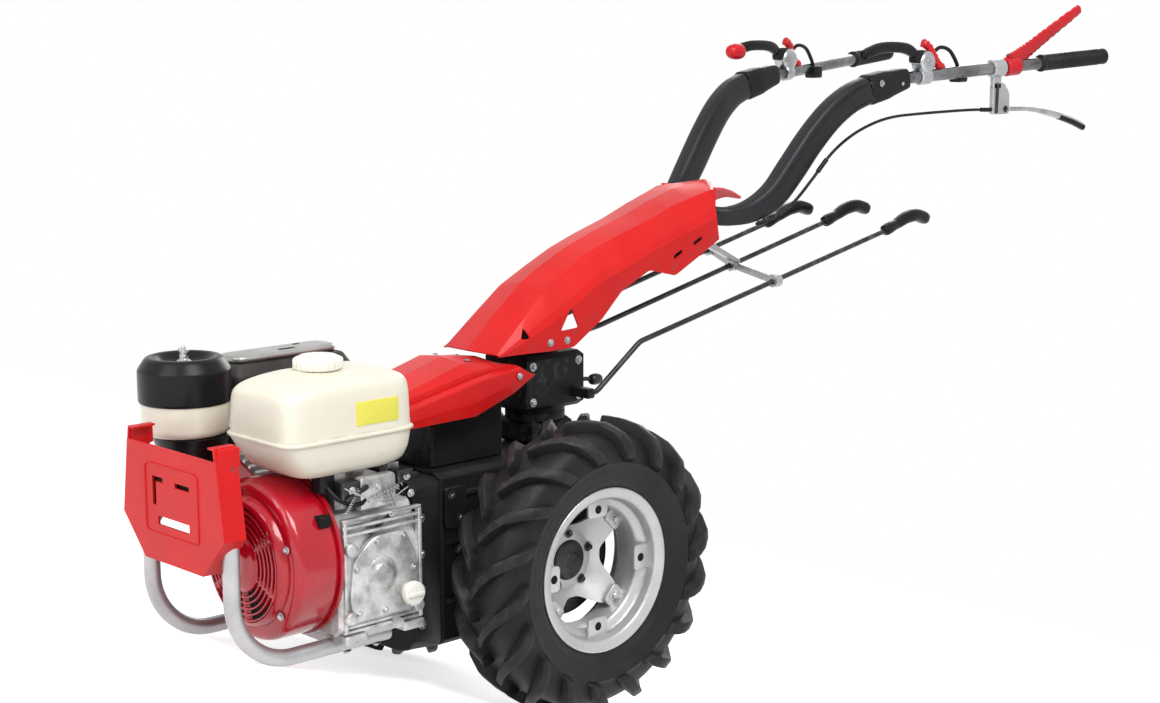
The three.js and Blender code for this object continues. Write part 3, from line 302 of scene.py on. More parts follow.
class Graph:
    """A node tree with short calls: a number, a colour or another node's output per input."""

    def __init__(self, tree):
        self.tree = tree

    def add(self, kind, settings=None, **inputs):
        made = self.tree.nodes.new("ShaderNode" + kind)
        for key, value in (settings or {}).items():
            setattr(made, key, value)
        for key, value in inputs.items():
            label = int(key[1:]) if key[0] == "i" else key.replace("_", " ")
            socket = made.inputs[label]
            if isinstance(value, bpy.types.NodeSocket):
                self.tree.links.new(value, socket)
            else:
                socket.default_value = value
        return made

    def math(self, operation, a, b=0.0, clamp=False):
        return self.add("Math", {"operation": operation, "use_clamp": clamp}, i0=a, i1=b).outputs[0]

    def blend(self, share, first, second):
        made = self.add("Mix", {"data_type": "RGBA"}, i0=share, i6=first, i7=second)
        return made.outputs[2]

    def spread(self, value, low, high, to_low=0.0, to_high=1.0):
        made = self.add("MapRange", {}, i0=value, i1=low, i2=high, i3=to_low, i4=to_high)
        made.interpolation_type = "SMOOTHSTEP"
        return made.outputs[0]

    def noise(self, vector, scale, detail=5.0):
        return self.add("TexNoise", {}, Vector=vector, Scale=scale, Detail=detail).outputs[0]


def effect(name, inputs, outputs):
    """A shader node group with named sockets: its graph, what it takes in and what it puts out."""
    tree = bpy.data.node_groups.new(name, "ShaderNodeTree")
    for label, kind, value in inputs:
        socket = tree.interface.new_socket(label, in_out="INPUT", socket_type="NodeSocket" + kind)
        if value is not None:
            socket.default_value = value
    for label, kind in outputs:
        tree.interface.new_socket(label, in_out="OUTPUT", socket_type="NodeSocket" + kind)
    graph = Graph(tree)
    source = tree.nodes.new("NodeGroupInput").outputs
    sink = tree.nodes.new("NodeGroupOutput").inputs
    return graph, source, sink


def mottled_colour():
    """Broad patches and fine specks of a second colour over the first."""
    g, i, o = effect(
        "mottled_colour",
        [("Vector", "Vector", None), ("Colour", "Color", (1, 1, 1, 1)), ("Shade", "Color", (0, 0, 0, 1)),
         ("Scale", "Float", 10.0), ("Amount", "Float", 0.4)],
        [("Colour", "Color")],
    )
    broad = g.spread(g.noise(i["Vector"], i["Scale"]), 0.38, 0.68)
    fine = g.spread(g.noise(i["Vector"], g.math("MULTIPLY", i["Scale"], 14.0), 3.0), 0.5, 0.75)
    share = g.math("MULTIPLY", g.math("ADD", broad, g.math("MULTIPLY", fine, 0.5)), i["Amount"], True)
    g.tree.links.new(g.blend(share, i["Colour"], i["Shade"]), o["Colour"])
    return g.tree


def end_with_mask(g, i, o, first, second):
    """Mask = first x second x Amount, kept between 0 and 1."""
    product = g.math("MULTIPLY", g.math("MULTIPLY", first, second), i["Amount"], True)
    g.tree.links.new(product, o["Mask"])
    return g.tree


def worn_edges():
    """A mask on sharp outer edges, broken up by noise."""
    g, i, o = effect(
        "worn_edges",
        [("Vector", "Vector", None), ("Edge", "Float", 0.5), ("Scale", "Float", 60.0),
         ("Amount", "Float", 0.5)],
        [("Mask", "Float")],
    )
    ridge = g.spread(i["Edge"], 0.53, 0.62)
    chips = g.spread(g.noise(i["Vector"], i["Scale"], 6.0), 0.48, 0.6)
    return end_with_mask(g, i, o, ridge, chips)


def cavity_shade():
    """A mask of painted shade in sharp hollows, broken up by noise."""
    g, i, o = effect(
        "cavity_shade",
        [("Vector", "Vector", None), ("Edge", "Float", 0.5), ("Scale", "Float", 40.0),
         ("Amount", "Float", 0.5)],
        [("Mask", "Float")],
    )
    hollow = g.spread(i["Edge"], 0.495, 0.43)
    patches = g.spread(g.noise(i["Vector"], i["Scale"]), 0.25, 0.6)
    return end_with_mask(g, i, o, hollow, patches)


def settled_dust():
    """A mask that grows where the surface faces up, in soft cloudy patches."""
    g, i, o = effect(
        "settled_dust",
        [("Vector", "Vector", None), ("Normal", "Vector", None), ("Scale", "Float", 12.0),
         ("Amount", "Float", 0.3)],
        [("Mask", "Float")],
    )
    up = g.spread(g.add("SeparateXYZ", {}, i0=i["Normal"]).outputs[2], -0.3, 1.0)
    cloud = g.spread(g.noise(i["Vector"], i["Scale"], 8.0), 0.35, 0.75)
    return end_with_mask(g, i, o, up, cloud)


def uneven_sheen():
    """A roughness that drifts either side of its middle value, with fine scuffs."""
    g, i, o = effect(
        "uneven_sheen",
        [("Vector", "Vector", None), ("Middle", "Float", 0.4), ("Spread", "Float", 0.1),
         ("Scale", "Float", 20.0)],
        [("Roughness", "Float")],
    )
    soft = g.math("SUBTRACT", g.noise(i["Vector"], i["Scale"]), 0.5)
    scuff = g.math("SUBTRACT", g.noise(i["Vector"], g.math("MULTIPLY", i["Scale"], 9.0)), 0.5)
    drift = g.math("MULTIPLY", g.math("ADD", soft, scuff), g.math("MULTIPLY", i["Spread"], 2.0))
    g.tree.links.new(g.math("ADD", i["Middle"], drift, True), o["Roughness"])
    return g.tree


def pebbled_grain():
    """A height of rounded pebbles over soft waves, for cast metal, rubber and moulded plastic."""
    g, i, o = effect(
        "pebbled_grain",
        [("Vector", "Vector", None), ("Scale", "Float", 300.0), ("Wave", "Float", 0.4)],
        [("Height", "Float")],
    )
    cells = g.add("TexVoronoi", {}, Vector=i["Vector"], Scale=i["Scale"]).outputs["Distance"]
    waves = g.noise(i["Vector"], g.math("MULTIPLY", i["Scale"], 0.12), 4.0)
    total = g.math("ADD", cells, g.math("MULTIPLY", waves, i["Wave"]))
    g.tree.links.new(total, o["Height"])
    return g.tree


EFFECTS = {
    "mottle": mottled_colour(),
    "wear": worn_edges(),
    "hollow_shade": cavity_shade(),
    "dust": settled_dust(),
    "sheen": uneven_sheen(),
    "grain": pebbled_grain(),
}


# the near-black colour of the painted shade laid into sharp hollows
HOLLOW_SHADE_COLOUR = (0.02, 0.018, 0.015)


def rgba(colour):
    """A colour with full alpha."""
    return (*colour, 1.0)


def finish(name, colour, shade, rough, metal=0.0, coat=0.0, patch=9.0, mottle=0.35, drift=0.06,
           grain=320.0, wave=0.5, depth=0.15, bare=(0.35, 0.35, 0.36), wear=0.0,
           dirt=(0.30, 0.25, 0.19), dust=0.0, hollow_shade=0.0, gloss=0.5):
    """A procedural finish: mottled colour, worn edges, painted shade in hollows, settled dust, uneven sheen
    and grain.
    """
    made = bpy.data.materials.new(name)
    made.use_nodes = True
    g = Graph(made.node_tree)
    surface = made.node_tree.nodes["Principled BSDF"]
    where = g.add("TexCoord").outputs["Object"]
    shape = g.add("NewGeometry").outputs

    def place(key, **inputs):
        node = g.add("Group", {"node_tree": EFFECTS[key]}, Vector=where, **inputs)
        return node.outputs[0]

    tint = place("mottle", Colour=rgba(colour), Shade=rgba(shade), Scale=patch, Amount=mottle)
    if wear:
        mask = place("wear", Edge=shape["Pointiness"], Scale=70.0, Amount=wear)
        tint = g.blend(mask, tint, rgba(bare))
    # painted shade: sharp hollows are darkened towards the near-black colour
    if hollow_shade:
        mask = place("hollow_shade", Edge=shape["Pointiness"], Scale=40.0, Amount=hollow_shade)
        tint = g.blend(mask, tint, rgba(HOLLOW_SHADE_COLOUR))
    if dust:
        mask = place("dust", Normal=shape["Normal"], Scale=14.0, Amount=dust)
        tint = g.blend(mask, tint, rgba(dirt))
    g.tree.links.new(tint, surface.inputs["Base Color"])
    sheen = place("sheen", Middle=rough, Spread=drift, Scale=16.0)
    g.tree.links.new(sheen, surface.inputs["Roughness"])
    height = place("grain", Scale=grain, Wave=wave)
    bump = g.add("Bump", {}, Height=height, Strength=depth, Distance=0.001)
    g.tree.links.new(bump.outputs[0], surface.inputs["Normal"])
    surface.inputs["Metallic"].default_value = metal
    surface.inputs["Coat Weight"].default_value = coat
    surface.inputs["Coat Roughness"].default_value = 0.08
    surface.inputs["Specular IOR Level"].default_value = gloss
    made.diffuse_color = rgba(colour)
    return made


# where a finish below darkens its hollows, that darkening is painted shade
RED = finish("glossy_red_enamel", (0.66, 0.010, 0.010), (0.46, 0.005, 0.007), 0.4, coat=0.08,
             mottle=0.3, grain=160, wave=1.6, depth=0.06, bare=(0.30, 0.05, 0.04), wear=0.5, dust=0.03,
             hollow_shade=0.5, gloss=0.2)
CRIMSON = finish("crimson_fan_cover", (0.50, 0.003, 0.016), (0.30, 0.002, 0.009), 0.2, coat=0.45,
                 mottle=0.4, grain=120, wave=1.2, depth=0.05, bare=(0.30, 0.04, 0.05), wear=0.4,
                 hollow_shade=0.8, gloss=0.35)
BLACK = finish("black_enamel", (0.009, 0.009, 0.010), (0.022, 0.022, 0.023), 0.45,
               mottle=0.5, grain=240, wave=1.2, depth=0.15, bare=(0.18, 0.18, 0.18), wear=0.6, dust=0.04,
               gloss=0.12)
ARM_BLACK = finish("satin_black_arm", (0.014, 0.0145, 0.017), (0.030, 0.031, 0.034), 0.4,
                   mottle=0.35, grain=300, wave=0.8, depth=0.08, bare=(0.25, 0.25, 0.25), wear=0.5,
                   gloss=0.22)
CAST = finish("cast_alloy", (0.66, 0.66, 0.66), (0.20, 0.195, 0.19), 0.38, metal=0.6, patch=26,
              mottle=0.7, drift=0.12, grain=420, wave=0.9, depth=0.35, bare=(0.62, 0.62, 0.62), wear=0.5,
              dust=0.08, hollow_shade=1.0)
TUBE = finish("galvanised_tube", (0.47, 0.47, 0.48), (0.31, 0.31, 0.32), 0.34, metal=0.7, patch=16,
              mottle=0.4, drift=0.1, grain=60, wave=1.4, depth=0.015)
# painted reflection: the chrome tube's dark mottled colour stands in for the dark surroundings it reflects;
# the pale worn edges are wear
HANDLE_TUBE_PAINTED_REFLECTION = finish("worn_handle_tube_painted_reflection", (0.24, 0.24, 0.25), (0.05, 0.05, 0.055), 0.24, metal=0.9, patch=9,
                mottle=0.9, drift=0.1, grain=300, wave=1.2, depth=0.04, bare=(0.7, 0.7, 0.7), wear=0.5)
STEEL = finish("machined_steel", (0.46, 0.47, 0.48), (0.22, 0.22, 0.22), 0.3, metal=0.9, patch=30,
               mottle=0.5, drift=0.14, grain=200, wave=0.6, depth=0.015)
DARK_STEEL = finish("oiled_dark_steel", (0.045, 0.045, 0.048), (0.014, 0.014, 0.014), 0.36, metal=0.6,
                    patch=40, mottle=0.6, drift=0.12, grain=200, depth=0.05, bare=(0.35, 0.35, 0.35),
                    wear=0.4, gloss=0.35)
WHEEL = finish("silver_wheel_paint", (0.56, 0.56, 0.555), (0.37, 0.365, 0.35), 0.36, metal=0.5,
               coat=0.05, mottle=0.4, grain=260, wave=1.2, depth=0.12, bare=(0.42, 0.36, 0.30), wear=0.1,
               dust=0.05, hollow_shade=0.9)
TYRE = finish("tyre_rubber", (0.0085, 0.0085, 0.0095), (0.020, 0.020, 0.021), 0.46, patch=12, mottle=0.6,
              drift=0.12, grain=380, wave=1.2, depth=0.35, bare=(0.055, 0.052, 0.05), wear=0.7,
              dirt=(0.07, 0.06, 0.05), dust=0.2, gloss=0.22)
GRIP = finish("grip_rubber", (0.010, 0.010, 0.011), (0.026, 0.026, 0.026), 0.5, grain=400, depth=0.12,
              bare=(0.10, 0.10, 0.10), wear=0.15, gloss=0.2)
PLASTIC = finish("black_plastic", (0.007, 0.007, 0.008), (0.018, 0.018, 0.019), 0.3, mottle=0.4,
                 grain=300, depth=0.02, dust=0.03, gloss=0.16)
CREAM = finish("cream_enamel", (0.80, 0.755, 0.63), (0.74, 0.69, 0.56), 0.34, coat=0.15, patch=6,
               mottle=0.4, grain=120, wave=1.6, depth=0.05, bare=(0.6, 0.55, 0.45), wear=0.2,
               hollow_shade=0.35, gloss=0.35)
CREAM_CAP = finish("cream_plastic", (0.86, 0.84, 0.76), (0.74, 0.71, 0.62), 0.42, grain=600,
                   depth=0.15, mottle=0.4, hollow_shade=0.6)
EXHAUST = finish("heat_proof_black", (0.008, 0.008, 0.008), (0.030, 0.024, 0.020), 0.5, patch=20,
                 mottle=0.6, grain=520, wave=1.0, depth=0.4, bare=(0.2, 0.15, 0.12), wear=0.5, dust=0.08,
                 gloss=0.35)
SHIELD = finish("pressed_heat_shield", (0.42, 0.42, 0.41), (0.28, 0.27, 0.25), 0.36, metal=0.7,
                patch=18, mottle=0.5, drift=0.12, grain=300, depth=0.15)
RED_PLASTIC = finish("red_plastic", (0.60, 0.006, 0.012), (0.40, 0.003, 0.008), 0.32, mottle=0.3,
                     grain=500, depth=0.04, bare=(0.45, 0.06, 0.05), wear=0.4, hollow_shade=0.7, gloss=0.35)
LABEL = finish("blank_yellow_label", (0.78, 0.72, 0.10), (0.68, 0.60, 0.06), 0.4, mottle=0.3,
               grain=200, depth=0.03)
# painted shade: the near-black colour put in holes, slots and vents, where the real parts show only shade
HOLE_SHADE = finish("painted_hole_shade", (0.004, 0.004, 0.004), (0.010, 0.010, 0.010), 0.8, mottle=0.5, depth=0.1,
              gloss=0.2)

# ---------------------------------------------------------------- pieces

SMOOTH = math.radians(32)  # an edge that turns more than this stays sharp
FLAT = math.radians(1)  # faces that turn less than this are one flat face
BEVELLED = math.radians(28)  # an edge of a CAD solid that turns more than this is rounded
NET_DOUBLES, SOLID_DOUBLES = 3e-6, 1e-5  # metres


def shade(mesh, angle=SMOOTH):
    """Smooth all over, but for the edges that turn more than the angle."""
    mesh.shade_smooth()
    mesh.set_sharp_from_angle(angle=angle)


def put_in_scene(name, data):
    """A new object at the origin, unturned and unscaled."""
    made = bpy.data.objects.new(name, data)
    bpy.context.scene.collection.objects.link(made)
    return made


def attach(piece, body, stands_for):
    """Rides a piece on its body and hides the nodes that it stands for."""
    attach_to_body(piece, body)
    if stands_for:
        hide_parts(*stands_for)
    return piece


def closed_mesh(name, surfaces):
    """Surfaces in one parked mesh, with their doubles merged and their faces turned outwards."""
    points, faces = join(*surfaces)
    mesh = bpy.data.meshes.new(name)
    mesh.from_pydata(parked(points).tolist(), [], faces.tolist())
    net = bmesh.new()
    net.from_mesh(mesh)
    bmesh.ops.remove_doubles(net, verts=net.verts, dist=NET_DOUBLES)
    bmesh.ops.recalc_face_normals(net, faces=net.faces)
    net.to_mesh(mesh)
    net.free()
    return mesh


def make(name, body, slot, material, *surfaces, stands_for=(), angle=SMOOTH):
    """One piece from its surfaces, smooth where its faces turn less than an angle."""
    mesh = closed_mesh(name, surfaces)
    shade(mesh, angle)
    mesh.materials.append(material)
    return attach(put_in_scene(name, mesh), body, stands_for)


def refined(name, node, material, width=2.0, segments=2):
    """A merged copy of a CAD solid with its flat faces whole and its edges rounded."""
    mesh = frame["nodes"][node].data.copy()
    mesh.name = name
    solid = bmesh.new()
    solid.from_mesh(mesh)
    bmesh.ops.remove_doubles(solid, verts=solid.verts, dist=SOLID_DOUBLES)
    bmesh.ops.dissolve_limit(solid, angle_limit=FLAT, verts=solid.verts, edges=solid.edges)
    solid.to_mesh(mesh)
    solid.free()
    shade(mesh)
    mesh.materials.clear()
    mesh.materials.append(material)
    piece = put_in_scene(name, mesh)
    edge = piece.modifiers.new("rounded_edges", "BEVEL")
    edge.width = 0.001 * width
    edge.segments = segments
    edge.limit_method = "ANGLE"
    edge.angle_limit = BEVELLED
    edge.harden_normals = True
    return attach(piece, frame["nodes"][node]["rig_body"], (node,))


def pierce(piece, *surfaces):
    """Cuts closed surfaces out of a piece and keeps the cut mesh."""
    tool_mesh = closed_mesh("cutter", surfaces)
    tool = put_in_scene("cutter", tool_mesh)
    cut = piece.modifiers.new("cut", "BOOLEAN")
    cut.object = tool
    cut.solver = "EXACT"
    cut.use_self = True
    bpy.context.view_layer.update()
    done = piece.evaluated_get(bpy.context.evaluated_depsgraph_get())
    mesh = bpy.data.meshes.new_from_object(done)
    piece.modifiers.remove(cut)
    old = piece.data
    piece.data = mesh
    mesh.name = old.name
    bpy.data.meshes.remove(old)
    bpy.data.objects.remove(tool)
    bpy.data.meshes.remove(tool_mesh)
    shade(mesh)


# ---------------------------------------------------------------- wheels

TYRE_RADIUS = GROUND_TO_AXLE
TREAD_DEPTH = 20.0
LUGS = 18


def carcass():
    """The tyre's outer half section from its middle out to the bead, as (width, radius)."""
    crown = TYRE_RADIUS - TREAD_DEPTH
    outline = [[0, crown], [26, crown - 1], [46, crown - 6], [59, crown - 18], [65, crown - 38],
               [66, crown - 60], [61, crown - 80], [55, crown - 92], [51, crown - 99],
               [49, crown - 110]]
    return curve(outline, 5)


def tyre_wall(side):
    """The carcass turned about the axle, with two low ribs round each flank."""
    w, r = carcass().T
    rib = 3.0 * np.exp(-(((r - 186) / 3.5) ** 2)) + 1.6 * np.exp(-(((r - 156) / 2.5) ** 2))
    w = w + rib
    outer = np.stack([np.concatenate([r[::-1], r[1:]]), np.concatenate([-w[::-1], w[1:]])], -1)
    inner = [[128, 34], [200, 46], [200, -46], [128, -34]]
    profile = np.concatenate([outer, inner])
    return lathe(profile, (0, side * TRACK / 2, GROUND_TO_AXLE), "y", 120, loop=True)


def tyre_lugs(side):
    """Bars that start beside the tread's middle and lean back over the shoulder.

    Bar i lies round the tread at angle 2 pi i / n + lean s, for s from 0 at the middle to 1 low on
    the shoulder. Its section is a trapezium of height h(s) along the carcass's normal.
    """
    half = carcass()
    run = np.concatenate([[0], np.cumsum(np.linalg.norm(np.diff(half, axis=0), axis=1))])
    s = np.array([0.0, 0.012, 0.2, 0.4, 0.58, 0.7, 0.82, 0.94, 1.0])
    at = 3 + s * 94
    w, r = np.interp(at, run, half[:, 0]), np.interp(at, run, half[:, 1])
    further_w, further_r = np.interp(at + 2, run, half[:, 0]), np.interp(at + 2, run, half[:, 1])
    along = unit(np.stack([further_w - w, further_r - r], -1))
    normal_w, normal_r = -along[:, 1], along[:, 0]
    tall = np.array([-0.1, 1, 1, 1, 1, 0.96, 0.84, 0.6, -0.1]) * (TREAD_DEPTH - 0.5)
    thick = np.array([11, 11, 11.5, 12.5, 14, 15, 16, 16, 15])
    across_bar = np.array([-1.25, -1.05, -0.86, -0.6, 0.6, 0.86, 1.05, 1.25])
    up_bar = np.array([-0.12, 0.55, 0.93, 1.0, 1.0, 0.93, 0.55, -0.12])
    lean = 0.40 * s**0.85
    parts = []
    for flank, offset in ((1, 0.0), (-1, 0.5)):
        start = 2 * np.pi * (np.arange(LUGS) + offset) / LUGS
        height = np.where(tall[:, None] > 0, tall[:, None] * up_bar, tall[:, None])
        radius = (r[:, None] + height * normal_r[:, None])[None]
        width = (w[:, None] + height * normal_w[:, None])[None]
        off_line = (thick[:, None] * across_bar / TYRE_RADIUS)[None]
        angle = start[:, None, None] + lean[None, :, None] + off_line
        radius, width, angle = np.broadcast_arrays(radius, width, angle)
        points = np.stack([radius * np.cos(angle), flank * width, radius * np.sin(angle)], -1)
        points = points + [0, side * TRACK / 2, GROUND_TO_AXLE]
        parts += [grid(bar) for bar in points]
    return join(*parts)


RIM_LIP, RIM_SEAT, RIM_WELL, RIM_HALF = 142.0, 127.0, 109.0, 56.0


def rim(side):
    """A closed strip turned about the axle: lips, seats and well, and back again 4 to 6 mm inside."""
    outer = [[RIM_LIP, RIM_HALF], [RIM_LIP, RIM_HALF - 5], [RIM_SEAT, RIM_HALF - 8],
             [RIM_SEAT - 1, RIM_HALF - 26], [RIM_WELL, RIM_HALF - 34]]
    inner = [[RIM_WELL - 4, RIM_HALF - 32], [RIM_SEAT - 6, RIM_HALF - 24],
             [RIM_SEAT - 5, RIM_HALF - 5], [RIM_LIP - 5, RIM_HALF]]
    outer_back, inner_back = [[[r, -h] for r, h in reversed(half)] for half in (outer, inner)]
    shape = soften(outer + outer_back + inner_back + inner, 5.0, 4, loop=True)
    return lathe(shape, (0, side * TRACK / 2, GROUND_TO_AXLE), "y", 96, loop=True)


DISC_ARMS = 4
DISC_DEPTH = 40.0  # of the disc's flat middle inboard of the wheel's mid plane


def disc(side):
    """A deep dished star whose edge is R(t) = 64 + 42 |sin 2t|^3, its arms rising to the rim."""
    t = 2 * np.pi * np.arange(144) / 144
    edge = 64 + 42 * np.abs(np.sin(2 * t)) ** 3
    share = np.array([0.0, 0.2, 0.5, 0.6, 0.7, 0.8, 0.9, 0.98, 1.0])[:, None]
    radius = np.where(share > 0.55, 56 + (share - 0.55) / 0.45 * (edge - 56), share * 100)
    dish = np.interp(radius, [0, 50, 62, 96, 106], [-DISC_DEPTH, -DISC_DEPTH, -32, -7, -5])
    front = across("y", dish + 3, radius * np.cos(t), radius * np.sin(t))
    back = across("y", dish - 3, radius * np.cos(t), radius * np.sin(t))
    points = np.concatenate([front, back[::-1]])
    points[..., 1] *= side
    return grid(points + [0, side * TRACK / 2, GROUND_TO_AXLE], wrap_v=True)


def on_rim(surface, angle, side):
    """Turns a piece made at +X about the axle and sets it on its wheel."""
    points, faces = surface
    c, s = np.cos(angle), np.sin(angle)
    x, y, z = points.T
    return np.stack([x * c - z * s, side * (y + TRACK / 2), x * s + z * c + GROUND_TO_AXLE], -1), faces


PLATE_THICK = 6.0
RIM_TABS = [  # angle, then depth, inner and outer radius and half width of each plate
    (np.pi / 4 * k, (-2, 84, 108, 19) if k % 2 else (30, 88, 124, 22)) for k in range(8)]


def round_axle(radius, out, angles, side):
    """Places at (r cos a, r sin a) about the axle that face outwards, `out` from the machine's middle."""
    return [((radius * np.cos(a), side * out, GROUND_TO_AXLE + radius * np.sin(a)), (0, side, 0))
            for a in angles]


def wheel_tabs(side):
    """Plates welded inside the rim, four at the disc's arms and four nearer the lip."""
    parts = []
    for angle, (deep, r0, r1, w) in RIM_TABS:
        plate = slab(oblong(r0, r1, -w, w, 8), deep, deep + PLATE_THICK, "y", 1.5)
        parts.append(on_rim(plate, angle, side))
        gusset = box((r1 - 8, deep - 26 * (deep > 0) - 2, -w + 4), (r1 + 2, deep + 2, w - 4), 3, 1, "y")
        parts.append(on_rim(gusset, angle, side))
    return join(*parts)


def tab_holes(side):
    """The bolt holes of the outer plates, shown as sunk rounds of painted shade."""
    round_hole = lathe([[0, 0.5], [6.5, 0.5], [7.5, 0], [7.5, -2], [0, -2]], (0, 0, 0), "z", 20)
    places = []
    for angle, (deep, r0, r1, _) in RIM_TABS:
        if deep > 0:
            places += round_axle(0.5 * (r0 + r1) - 4, TRACK / 2 + deep + PLATE_THICK, [angle], side)
    return repeated(round_hole, places)


def wheel_fasteners(side):
    """A bolt through each arm of the star, half way between the axes."""
    angles = np.pi / 4 * (2 * np.arange(DISC_ARMS) + 1)
    return fasteners(round_axle(96, TRACK / 2 + 4, angles, side), 10, 8)


def hub_fasteners(side):
    """Five bolts evenly round the disc's flat middle."""
    angles = 2 * np.pi * np.arange(5) / 5 + 0.3
    return fasteners(round_axle(48, TRACK / 2 - DISC_DEPTH + 3, angles, side), 9, 8)


def hub(side, start):
    """A drum and neck turned about the axle, from the disc's middle in to the axle housing."""
    face = -DISC_DEPTH - 3.5
    profile = [[0, 14 - DISC_DEPTH], [12, 14 - DISC_DEPTH], [16, 10 - DISC_DEPTH], [30, 9 - DISC_DEPTH],
               [36, 3 - DISC_DEPTH], [36, face], [97, face - 1], [99, face - 4], [97, face - 10],
               [50, face - 14], [34, face - 18], [34, start + 42], [18, start + 40], [18, start],
               [0, start]]
    centre = (0, side * TRACK / 2, GROUND_TO_AXLE)
    return lathe(soften([[r, side * h] for r, h in profile], 3), centre, "y", 72)


def valve(side):
    """The stem that stands out of the rim's well, a round section along a bent line."""
    lip = TRACK / 2 + RIM_HALF
    line = [[68, side * (lip - 40), GROUND_TO_AXLE + 93], [70, side * (lip - 30), GROUND_TO_AXLE + 90],
            [70, side * (lip - 18), GROUND_TO_AXLE + 88]]
    return sweep(curve(line, 4), ring(3.4, 12))


def add_wheel(label, side):
    """One wheel's tyre, rim, disc, holes and hub, all on its own body."""
    body = f"{label}_wheel"
    make(f"{body}_tyre_rubber", body, "tyre_rubber", TYRE, tyre_wall(side), tyre_lugs(side),
         stands_for=(f"{body}_tyre",))
    make(f"{body}_rim_shell", body, "wheel_paint", WHEEL, rim(side), wheel_tabs(side),
         stands_for=(f"{body}_rim",))
    make(f"{body}_star_disc", body, "wheel_paint", WHEEL, disc(side), wheel_fasteners(side),
         stands_for=(f"{body}_disc",))
    # the holes' dark rounds are painted shade, not black paint
    make(f"{body}_tab_holes", body, "black_paint", HOLE_SHADE, tab_holes(side))
    ends = [corner[1] for corner in reach(f"{body}_axle")]
    start = min(abs(end) for end in ends) - TRACK / 2
    make(f"{body}_hub", body, "machined_steel", DARK_STEEL, hub(side, start), hub_fasteners(side),
         valve(side), stands_for=(f"{body}_axle",))


add_wheel("left", 1)
add_wheel("right", -1)

# ---------------------------------------------------------------- gearbox and column

GEARBOX_SIDE = reach("gearbox_housing")[1][1]
refined("gearbox_casting", "gearbox_housing", BLACK, 5, 3)
refined("bell_casting", "bell_housing", BLACK, 4, 3)
refined("coupling_socket", "implement_coupling", DARK_STEEL, 1.5)


def axle_housing(side):
    """The flared tube that carries the axle, turned about it, and the eight bolts of its flange."""
    start = abs(reach("left_axle_housing")[0][1])
    shape = [[18.5, 0], [78, 0], [78, 12], [60, 15], [49, 26], [44, 44], [50, 46], [50, 56.5], [18.5, 56.5]]
    body = lathe(soften([[r, side * h] for r, h in shape], 3, loop=True), (0, side * start, GROUND_TO_AXLE),
                 "y", 64, loop=True)
    angles = 2 * np.pi * (np.arange(8) + 0.5) / 8
    return body, fasteners(round_axle(68, start + 12, angles, side), 8, 6)


for label, side in (("left", 1), ("right", -1)):
    shell, heads = axle_housing(side)
    make(f"{label}_axle_casting", "chassis", "black_paint", BLACK, shell,
         stands_for=(f"{label}_axle_housing",))
    make(f"{label}_axle_casting_bolts", "chassis", "machined_steel", DARK_STEEL, heads)


COVER_X, COVER_Z = 128, 245  # of the round covers on the gearbox's flanks


def gearbox_details():
    """A round cover and two raised pads on each of the casting's flanks."""
    parts = []
    y = GEARBOX_SIDE
    for side in SIDES:
        cover = lathe(soften([[0, 9], [34, 9], [38, 6], [46, 5], [46, 0], [0, 0]], 2) * [1, side],
                      (COVER_X, side * (y - 2), COVER_Z), "y", 48)
        plate = slab(oblong(-118, -62, 330, 398, 10), side * y - 5, side * y + 5, "y", 2)
        post = slab(oblong(150, 196, 330, 400, 8), side * y - 6, side * y + 4, "y", 2)
        parts += [cover, plate, post]
    return join(*parts)


def gearbox_heads():
    """Bolts on both flanks, six round each cover and four round the coupling's face."""
    y = GEARBOX_SIDE
    spots = [(-100, 345), (-78, 385), (165, 345), (182, 385), (150, 180), (70, 165), (-40, 175),
             (165, 290), (-20, 395), (60, 395), (110, 395)]
    places = [((x, side * (y - 1 if z < 325 or x in (-20, 60, 110) else y + 3), z), (0, side, 0))
              for x, z in spots for side in SIDES]
    ring_spots = 2 * np.pi * (np.arange(6) + 0.25) / 6
    places += [((COVER_X + 40 * np.cos(a), side * (y + 2.5), COVER_Z + 40 * np.sin(a)), (0, side, 0))
               for a in ring_spots for side in SIDES]
    back = reach("implement_coupling")[0][0]
    centre = middle("implement_coupling")
    places += [((back + 16, centre[1] + 52 * np.cos(a), centre[2] + 52 * np.sin(a)), (-1, 0, 0))
               for a in np.pi / 4 * np.array([1, 3, 5, 7])]
    return fasteners(places, 8, 5)


make("gearbox_covers", "chassis", "black_paint", BLACK, gearbox_details())
make("gearbox_bolts", "chassis", "machined_steel", DARK_STEEL, gearbox_heads())

BELL_FRONT, BELL_SIDE, BELL_TOP = reach("bell_housing")[1]


def bell_heads():
    """Four bolts down each side of the bell's flange and three on its top."""
    x = BELL_FRONT - 12
    heights = (190, 250, 310, 370)
    places = [((x, BELL_SIDE + 1, z), (0, 1, 0)) for z in heights]
    places += [((x, -92, z), (0, -1, 0)) for z in heights]
    places += [((x, y, BELL_TOP), (0, 0, 1)) for y in (-40, 20, 80)]
    return fasteners(places, 8, 6)


make("bell_bolts", "chassis", "machined_steel", STEEL, bell_heads())

COLUMN_X = middle("column_post")[0]
refined("column_pedestal", "column_post", BLACK, 3, 2)
refined("steering_head_casting", "steering_head", BLACK, 3, 2)


def steering_head_heads():
    """Four bolts on each flank of the head and two on its rear."""
    side_face = 55.0
    places = [((x, side * side_face, z), (0, side, 0))
              for x in (COLUMN_X - 56, COLUMN_X + 54) for z in (508, 572) for side in SIDES]
    places += [((COLUMN_X - 69, y, 572), (-1, 0, 0)) for y in (-34, 34)]
    return fasteners(places, 8, 6)


